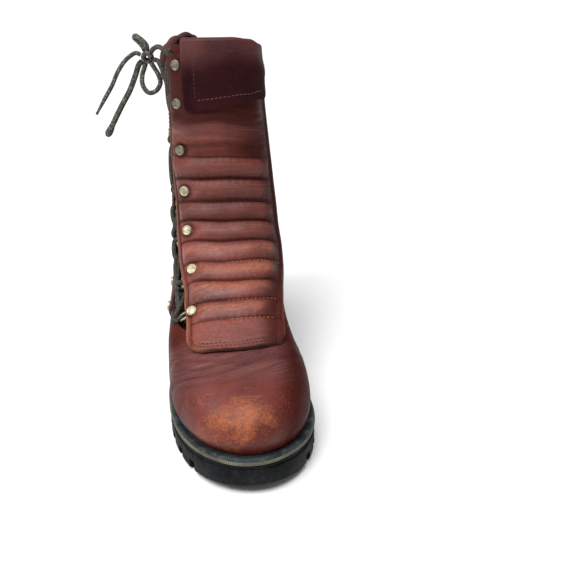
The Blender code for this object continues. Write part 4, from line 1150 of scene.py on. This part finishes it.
# Seams by their distance from the stay's rear edge, or from its lip if below zero
stay_points, stay_lines = [], {2.2: [], 5.2: [], -2.4: []}
for t in stay_t:
    wide, lip = stay_width(t), overhang(t, 1)
    stops = np.concatenate([np.linspace(-wide, 0, 9), [lip]])
    places = np.array([step_from_edge(t, 1, d) for d in stops])
    base = LAYER + over_lap(places[:, 0], places[:, 1]) + STAY_THICK
    row = on_skin(places[:, 0], places[:, 1], base)
    stay_points.append(row)
    for inset, line in stay_lines.items():
        reach = inset - wide if inset > 0 else lip + inset
        line.append(points_at(reach, stops, row))
stay_points = np.array(stay_points)
stay_wear = np.full(stay_points.shape[:2], .15)
stay_wear[:, -2:] = .4
stay = sheet("lace_stay_leather", stay_points, [STAY, LINING, RAW_EDGE],
             marks={"wear": stay_wear, "shade": 0 * stay_wear})
thicken(stay, STAY_THICK, inner=1, rim=0)
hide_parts("lace_stay")
stitches("stay_stitches", [np.array(line) for line in stay_lines.values()], stay, DARK_THREAD, pitch=3.0)

# ---------------------------------------------------------------- padded collar
# Section of the pad round the rim: out from the skin and height
COLLAR_LINE = ((LAYER, -29), (3.4, -28.6), (6.0, -24), (7.2, -16), (6.9, -8), (5.6, -1.5), (3.4, 2.4), (.2, 3.9),
               (-2.2, 3.2), (-3.0, .6), (LAYER, .5), (LAYER, -14))
COLLAR_DEPTH = 29
COLLAR_FIRST, COLLAR_LAST = 4.06, 5.96
collar_a = np.concatenate([np.linspace(COLLAR_FIRST, 4.14, 8, endpoint=False), np.linspace(4.14, 5.86, 110),
                           np.linspace(5.86, COLLAR_LAST, 9)[1:]])
collar_section = smooth_path(COLLAR_LINE, 5, closed=True)
collar_section = np.concatenate([collar_section, collar_section[:1]])
collar_loops = []
for a in collar_a:
    slim = .2 + .8 * math.sin(math.pi / 2 * min(1.0, (a - COLLAR_FIRST) / .08, (COLLAR_LAST - a) / .1)) ** .6
    slim *= .6 + .4 * float(ease((a - 4.3) / .5))
    swell = 1 + .05 * math.sin(a * 23.0) + .04 * math.sin(a * 41.0 + 1.0)
    stretch = rim_rise(a) / COLLAR_DEPTH
    collar_loops.append([at_rim(a, h + min(h, 0) * stretch, LAYER + (o - LAYER) * (slim * swell if o > LAYER else 1))
                         for o, h in collar_section])
collar_points = np.array(collar_loops)
collar_wear = np.broadcast_to(.45 * bump(np.arange(len(collar_section)) - 31.0, 5.0), collar_points.shape[:2])
collar = solid("collar_pad_leather", [collar_points], [COLLAR], marks={"wear": collar_wear, "shade": 0 * collar_wear})
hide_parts("collar_pad")
stitches("collar_stitches", [collar_points[4:-4, 6], collar_points[4:-4, 9]], collar, DARK_THREAD, pitch=3.0)

# ---------------------------------------------------------------- flap
FLAP_OUT = LAYER + PANEL_THIN + .35 * PANEL_PAD + LAYER
FLAP_ROUND = 7
FLAP_FALL = 34  # rows in front of the rim


def flap_path():
    """Outer face of the flap as (out, height), from its front hem up over the rim to the inside."""
    front = FLAP_OUT + FLAP_THICK
    rear = -WALL - GAP - .3 - FLAP_THICK
    middle, reach = (front + rear) / 2, (front - rear) / 2
    drops = np.concatenate([np.linspace(FLAP_DROP, FLAP_DROP - FLAP_ROUND, 10), np.linspace(34, 2, 24)])
    fall = [(front, -h) for h in drops]
    arch = [(middle + reach * math.cos(w), .9 + FLAP_THICK + reach * .42 * math.sin(w))
            for w in np.linspace(0, math.pi, 15)]
    return fall + arch + [(rear, -h) for h in (3.0, 6.0, 9.0, 12.0, 16.0)]


flap_rows = flap_path()
flap_w = np.linspace(-1, 1, 49)
flap_points = []
for out, height in flap_rows:
    drop = max(0.0, -height - (FLAP_DROP - FLAP_ROUND)) / FLAP_ROUND if out > 0 else 0.0
    pinch = .10 * (1 - math.sqrt(max(0.0, 1 - drop**2)))
    places = 3.15 + .71 * (1 - pinch) * flap_w
    sway = .35 * np.sin(flap_w * 4 + height * .13) * (out > 0) * ease(-height / 20)
    fall = np.interp(places, HEM_PLACES, HEM_DROPS) / FLAP_DROP if height < 0 else np.ones(len(places))
    flap_points.append([at_rim(a, height * share, out + max(0.0, w)) for a, w, share in zip(places, sway, fall)])
flap_points = np.array(flap_points)
flap_edge = np.minimum(flap_w + 1, 1 - flap_w)[None, :] * 36
flap_hem = np.array([FLAP_DROP + h if o > 0 else 99.0 for o, h in flap_rows])[:, None]
flap_wear = np.maximum(.3 * bump(flap_edge, 1.6), .15 * bump(flap_hem, 1.6) + 0 * flap_edge)
# Painted shade: the flap darkens from its lit top downwards, unevenly across, and a little more just inside its side
# edges
flap_depth = np.array([-h if o > 0 else 0.0 for o, h in flap_rows])[:, None] + 2.5 * np.sin(flap_w * 3 + 1)[None, :]
flap_shade = np.clip(.8 * ease((flap_depth + 3) / 23) + .15 * bump(flap_edge - 4, 6.0), 0, .95)
flap = sheet("top_flap_leather", flap_points, [FLAP, LINING, RAW_EDGE],
             marks={"wear": flap_wear, "shade": flap_shade})
thicken(flap, FLAP_THICK, inner=1, rim=0)
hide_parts("top_flap")

flap_falls = np.array([-h for o, h in flap_rows[FLAP_FALL - 1::-1]])
flap_front = flap_points[FLAP_FALL - 1::-1]


def flap_seam(first, last, deep, shallow):
    """Line across the flap from one depth below the rim to another."""
    line = []
    for k, w in enumerate(flap_w):
        if first <= w <= last:
            depth = deep + (shallow - deep) * (w - first) / (last - first)
            line.append(points_at(depth, flap_falls, flap_front[:, k]))
    return np.array(line)


def flap_rise(w, first, last):
    """Line down the flap at one place across it."""
    return points_at(np.linspace(first, last, 30), flap_falls, flap_front[:, np.abs(flap_w - w).argmin()])


stitches("flap_stitches", [flap_seam(-.7, .72, 7.5, 2.6), flap_rise(-.7, 8.5, 35.0)], flap, FLAP_THREAD, pitch=3.0)
stitches("flap_hem_stitches", [flap_seam(-.7, .8, 36.0, 36.0)], flap, HEM_THREAD, pitch=3.0)

# ---------------------------------------------------------------- vamp stitching
LAP_EDGE = 5.06
lap_rows = []
for drop in (2.0, 4.6, 7.2, 9.8):
    for first, last in ((4.03, 5.0), (0.0, .8)):
        a = np.linspace(first, last, 120)
        lap_rows.append(np.array([on_skin(LAP_EDGE - drop / height_scale(4.9, x), x) for x in a]))
stitches("vamp_stitches", lap_rows, upper, TAN_THREAD, pitch=2.6, length=1.9, radius=.32)

# ---------------------------------------------------------------- sole
FEATHER = section_at(0)
BACK_END = FEATHER.back_y + SOLE_EDGE
FRONT_END = FEATHER.front_y - SOLE_EDGE


def both_sides(margin, fractions):
    """Outer and inner side of the feather line, moved out by a margin."""
    return [section_line(FEATHER, fractions, side, margin) for side in (-1, 1)]


def sole_outline(margin, fractions):
    """Closed outline: back point, outer side, front point, inner side and back point again."""
    outer, inner = both_sides(margin, fractions)
    return np.concatenate([outer, inner[-2::-1]])


def strips(outer, inner, count):
    """Grid of strips from side to side."""
    share = np.linspace(0, 1, count)[:, None]
    return outer[:, None] * (1 - share) + inner[:, None] * share


def feather_height(line):
    """Height of the feather line below each point of an outline."""
    c = np.clip((FEATHER.back_y - line[..., 1]) / (FEATHER.back_y - FEATHER.front_y), 0, 1)
    return section_height(FEATHER, c)


def outsole_top(line):
    return feather_height(line) - WELT_HEIGHT - LAYER


def tread_height(line):
    return np.interp(line[..., 1], TREAD_Y, TREAD_Z)


def between(share):
    """Height at a share of the way from the tread to the outsole's top."""
    return lambda line: tread_height(line) * (1 - share) + outsole_top(line) * share


def fractions_with(count, *stops):
    """Fractions from back to front, closer at both ends, with the given y places among them."""
    even = 0.5 - 0.5 * np.cos(np.linspace(0, math.pi, count))
    extra = [(BACK_END - y) / (BACK_END - FRONT_END) for y in stops]
    keep = [c for c in even if all(abs(c - e) > .003 for e in extra)]
    return np.array(sorted(keep + extra))


def lid(margin, fractions, height):
    """Cap of an outline as strips from side to side."""
    grid = strips(*both_sides(margin, fractions), 13)
    grid[..., 2] = height(grid)
    return grid


def stack(name, levels, fractions, materials):
    """Closed solid of outlines one above the other."""
    walls = []
    for margin, height in levels:
        line = sole_outline(margin, fractions)
        line[:, 2] = height(line)
        walls.append(line)
    caps = [lid(margin, fractions, height) for margin, height in (levels[0], levels[-1])]
    return solid(name, [np.array(walls), *caps], materials)


def notch_frames(places, turn):
    """Frames on both edges of the tread at given y places, slanted by turn."""
    frames = []
    for y in places:
        c = np.array([(BACK_END - y) / (BACK_END - FRONT_END)])
        for side in (-1, 1):
            place = section_line(FEATHER, c, side, SOLE_EDGE)[0]
            ahead = section_line(FEATHER, c + .01, side, SOLE_EDGE)[0]
            along = unit((ahead - place) * (1, 1, 0))
            inward = np.array((-along[1], along[0], 0.0))
            inward *= -side * np.sign(inward[0])
            slant = turn * (1 if y > -100 else 0)
            inward = inward * math.cos(slant) + along * math.sin(slant)
            along = np.array((inward[1], -inward[0], 0.0))
            place[2] = 0.0 if y > HEEL_BREAST else tread_height(place[None])[0]
            frames.append((place, along, inward))
    return frames


def carve(piece, frames, size):
    """Cuts notches out of a piece with boxes, then keeps the cut mesh."""
    wide, deep, tall = size
    form = bmesh.new()
    for place, along, inward in frames:
        box = bmesh.ops.create_cube(form, size=1.0)["verts"]
        for v in box:
            x, y, z = v.co
            spot = (place + along * (x * wide) + inward * ((y + .5) * (deep + 4.0) - 4.0)
                    + np.array((0, 0, (z + .5) * (tall + 2.0) - 2.0)))
            v.co = [float(n) * MM for n in spot]
    bmesh.ops.recalc_face_normals(form, faces=form.faces)
    cutter = bpy.data.objects.new("notches", mesh_of("notches", form))
    scene.collection.objects.link(cutter)
    cutting = piece.modifiers.new("notches", "BOOLEAN")
    cutting.operation = "DIFFERENCE"
    cutting.solver = "EXACT"
    cutting.object = cutter
    carved = bpy.data.meshes.new_from_object(piece.evaluated_get(bpy.context.evaluated_depsgraph_get()))
    piece.modifiers.clear()
    piece.data = carved
    bpy.data.objects.remove(cutter)


sole_stops = fractions_with(110, 71.0, 10.0, 8.0)
outsole = stack("outsole_rubber",
                [(SOLE_EDGE - 2.0, tread_height), (SOLE_EDGE - .5, between(.06)), (SOLE_EDGE, between(.14)),
                 (SOLE_EDGE - .2, between(.80)), (SOLE_EDGE - 1.0, between(.83)), (SOLE_EDGE - 1.2, between(.87)),
                 (SOLE_EDGE - .7, between(.92)), (SOLE_EDGE - .4, outsole_top)], sole_stops, [RUBBER])
carve(outsole, notch_frames((-6, -23, -40, -57, -74, -91, -108, -125), .18), (6.5, 17.0, 8.0))
soften(outsole, .7, angle=40)
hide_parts("outsole")


def heel_line(margin, z, slope):
    """Both sides of the heel block's outline up to the breast, which slopes forward towards the ground."""
    reach = (BACK_END - (HEEL_BREAST - slope)) / (BACK_END - FRONT_END)
    c = reach * (1 - np.cos(np.linspace(0, math.pi / 2, 40)))
    sides = np.array(both_sides(margin, c))
    sides[..., 2] = z
    return sides


HEEL_LEVELS = ((SOLE_EDGE - 2.4, 0.0, 4.0), (SOLE_EDGE - .8, 3.0, 4.0), (SOLE_EDGE - .6, HEEL_TOP, 0.0))
heel_sides = [heel_line(*level) for level in HEEL_LEVELS]
heel_wall = np.array([np.concatenate([inner[::-1], outer[1:]]) for outer, inner in heel_sides])
heel_breast = np.array([sides[:, -1] for sides in heel_sides])
heel_caps = [strips(*heel_sides[0], 9), strips(*heel_sides[-1], 9), strips(*heel_breast.transpose(1, 0, 2), 9)]
heel = solid("heel_rubber", [heel_wall, *heel_caps], [RUBBER])
carve(heel, notch_frames((132, 112, 92), 0.0), (6.0, 15.0, 8.0))
soften(heel, .7, angle=40)
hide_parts("heel")

# Section of the welt: distance out from the feather line and rise
BEAD_LINE = ((-7.0, -WELT_HEIGHT), (3.0, -WELT_HEIGHT), (SOLE_EDGE - 1.0, -WELT_HEIGHT), (SOLE_EDGE - .2, -4.1),
             (SOLE_EDGE + .25, -3.5), (SOLE_EDGE + .3, -2.8), (SOLE_EDGE, -2.1), (SOLE_EDGE - .55, -1.75),
             (SOLE_EDGE - .6, -1.4), (SOLE_EDGE - .7, -.5), (SOLE_EDGE - 1.2, .1), (SOLE_EDGE - 2.0, .35),
             (SOLE_EDGE - 2.9, .2), (SOLE_EDGE - 3.5, -.3), (1.0, -.5), (-1.0, -.4), (-7.0, -GAP), (-7.0, -WELT_HEIGHT))
welt_points = []
for margin, rise in BEAD_LINE:
    line = sole_outline(margin, sole_stops)
    line[:, 2] = feather_height(line) + rise
    welt_points.append(line)
welt_points = np.array(welt_points)
along = np.stack([arc_length(welt_points[5]), 0 * welt_points[5][:, 0]], axis=-1)
welt_uv = np.broadcast_to(along[None], (*welt_points.shape[:2], 2))
welt_slots = np.zeros(welt_points.shape[:2], dtype=int)
welt_slots[2:7] = 1  # rows of the bead
welt = solid("welt_rubber", [welt_points], [LEDGE, BEAD], uv=welt_uv, slots=welt_slots)
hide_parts("welt")

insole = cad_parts["insole"]
insole = bpy.data.objects[insole] if isinstance(insole, str) else insole
insole.data.materials.clear()
insole.data.materials.append(BOARD)

# ---------------------------------------------------------------- rivets and wire loops
# Section of a rivet head in shares of its radius and height
RIVET_LINE = ((0.0, .62), (.40, .62), (.58, .60), (.64, .56), (.68, .60), (.76, .76), (.86, .80), (.95, .68),
              (1.0, .45), (1.0, -.8), (0.0, -.8))
RIVET_TURN = math.radians(16)


def rivet(node, t, a, out, turn=0.0, mat=BRASS):
    """Flat rivet head with a rolled rim, spun about its own axis; turn tips it towards the front."""
    across, up, normal = skin_frame(t, a)
    base = on_skin(t, a, out)
    normal, across = (normal * math.cos(turn) + across * math.sin(turn),
                      across * math.cos(turn) - normal * math.sin(turn))
    form = bmesh.new()
    line = [form.verts.new(tuple((base + across * (r * RIVET_RADIUS) + normal * (h * RIVET_HEIGHT)) * MM))
            for r, h in RIVET_LINE]
    edges = [form.edges.new(pair) for pair in zip(line, line[1:])]
    bmesh.ops.spin(form, geom=line + edges, cent=tuple(base * MM), axis=tuple(normal), angle=2 * math.pi, steps=28,
                   use_merge=True)
    piece = finish_mesh(node + "_dome", form, [mat], closed=True)
    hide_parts(node)


def ring_reach(t, edge, half):
    """How far a wire loop reaches into the slot."""
    return min(RING_REACH, 6 + 1.5 * half, slot_width(t, edge) * .45 - 1.5)


def lace_ring(node, t, edge, half):
    """Wire loop lying in the slot, its inner bar under the leather edge (edge 2 panel, 1 stay)."""
    near, far = RING_WIRE + .6, ring_reach(t, edge, half)
    middle, reach = (near + far) / 2, (far - near) / 2
    turn = np.linspace(0, 2 * math.pi, 41)
    across = middle + reach * np.sign(np.cos(turn)) * np.abs(np.cos(turn)) ** .6
    rise = half * np.sign(np.sin(turn)) * np.abs(np.sin(turn)) ** .6
    places = np.array([step_from_edge(t, edge, d, e) for d, e in zip(across, rise)])
    path = on_skin(places[:, 0], places[:, 1], -RING_WIRE - .4)
    loops = tube_points(path[:-1], RING_WIRE * .92, 10, closed=True)
    piece = solid(node + "_wire", [np.concatenate([loops, loops[:1]])], [BRASS])
    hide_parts(node)


def stay_rows():
    """Lace rows evenly spaced along the rear edge of the slot."""
    heights = np.linspace(SLOT_BOTTOM, STAY_TOP, 300)
    arc = arc_length(on_skin(heights, 1.0))
    return np.interp(np.linspace(STAY_FIRST, arc[-1], len(PANEL_ROWS)), arc, heights)


STAY_ROWS = stay_rows()
# The panel's upper rivets take the darker copy of the brass as painted shade
LIT_RIVETS = 4
RING_HALVES = (RING_LOWEST,) + (RING_HALF,) * (len(PANEL_ROWS) - 1)
for k, (t, half, place) in enumerate(zip(PANEL_ROWS, RING_HALVES, rivet_places), 1):
    rivet("rivet_panel_%d" % k, *place, LAYER + PANEL_THIN + .5, RIVET_TURN,
          BRASS if k <= LIT_RIVETS else SHADED_BRASS)
    lace_ring("ring_panel_%d" % k, t, 2, half)
for k, (t, half) in enumerate(zip(STAY_ROWS, RING_HALVES), 1):
    place = step_from_edge(t, 1, -stay_width(t) * .5)
    rivet("rivet_stay_%d" % k, *place, LAYER + STAY_THICK + .1 + over_lap(*place))
    lace_ring("ring_stay_%d" % k, t, 1, half)

# ---------------------------------------------------------------- lace through the loops
LACE_LIFTS = (1.8, -1.4, -4.2)
LACE_TURN = ((2.4, -1.9), (-RING_WIRE - 2.0, 0.0), (2.4, 1.9))


def strand(first_edge, over):
    """Half of the criss-cross from the lowest row up: in over each loop's bar and out under it, or the reverse."""
    points = []
    edge = first_edge
    for row in range(len(PANEL_ROWS)):
        t = (PANEL_ROWS if edge == 2 else STAY_ROWS)[row]
        bar = ring_reach(t, edge, RING_HALVES[row])
        for (reach, shift), lift in zip(LACE_TURN, LACE_LIFTS if over else LACE_LIFTS[::-1]):
            points.append(on_skin(*step_from_edge(t, edge, bar + reach, shift), lift))
        edge = 3 - edge
        if row + 1 < len(PANEL_ROWS):
            t2 = (PANEL_ROWS if edge == 2 else STAY_ROWS)[row + 1]
            middle = (on_skin(t, 3 - edge) + on_skin(t2, edge)) / 2
            points.append(on_skin((t + t2) / 2, 1.5, 5.0 if over else 0.0) * .5 + middle * .5)
    return points


panel_lead = from_knot((3.4, -4.1, 4.2), (5.4, -6.5, 6.7), (10, -15, 9), (15, -24.5, 7))
stay_lead = from_knot((14, -14.5, -18), (11.5, -11, -9.5), (8.3, -5.9, -2.6), (5.0, -3.5, -1.5))
lace_route = panel_lead + strand(2, True)[::-1] + strand(1, False) + stay_lead
lace = tube("lace_braid", smooth_path(lace_route, 7), LACE_RADIUS, 12, SHADED_CORD)
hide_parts("lace")

# ---------------------------------------------------------------- floor and light
form = bmesh.new()
bmesh.ops.create_grid(form, x_segments=1, y_segments=1, size=12.0)
pale = Look("pale floor")
floor_mesh = mesh_of("floor", form)
floor_mesh.materials.append(pale.finish(
    pale.mix(pale.noise(4.0).ramp(.3, .7), (.90, .90, .90, 1.0), (.92, .92, .92, 1.0)), .9))
floor = bpy.data.objects.new("floor", floor_mesh)
scene.collection.objects.link(floor)

world = bpy.data.worlds.new("studio")
world.use_nodes = True
world.node_tree.nodes["Background"].inputs["Color"].default_value = (1.0, 1.0, 1.0, 1.0)
world.node_tree.nodes["Background"].inputs["Strength"].default_value = .32
scene.world = world


def light(name, kind, power, turn, **settings):
    lamp = bpy.data.lights.new(name, kind)
    lamp.energy = power
    for key, value in settings.items():
        setattr(lamp, key, value)
    obj = bpy.data.objects.new(name, lamp)
    obj.rotation_euler = turn
    scene.collection.objects.link(obj)
    return obj


def area_light(name, place, target, size, power):
    """Round soft light at a place, turned towards a target (metres)."""
    x, y, z = np.array(target) - np.array(place)
    turn = (math.atan2(math.hypot(x, y), -z), 0.0, math.atan2(y, x) - math.pi / 2)
    light(name, "AREA", power, turn, shape="DISK", size=size).location = place


light("overhead", "SUN", 2.75, (math.radians(11), math.radians(-7), 0.0), angle=math.radians(50))
area_light("key", (-.45, -.75, 1.25), (0, -.05, .1), .5, 5.0)
area_light("side sheen", (-.85, -.3, .75), (0, -.04, .12), .45, 5.0)
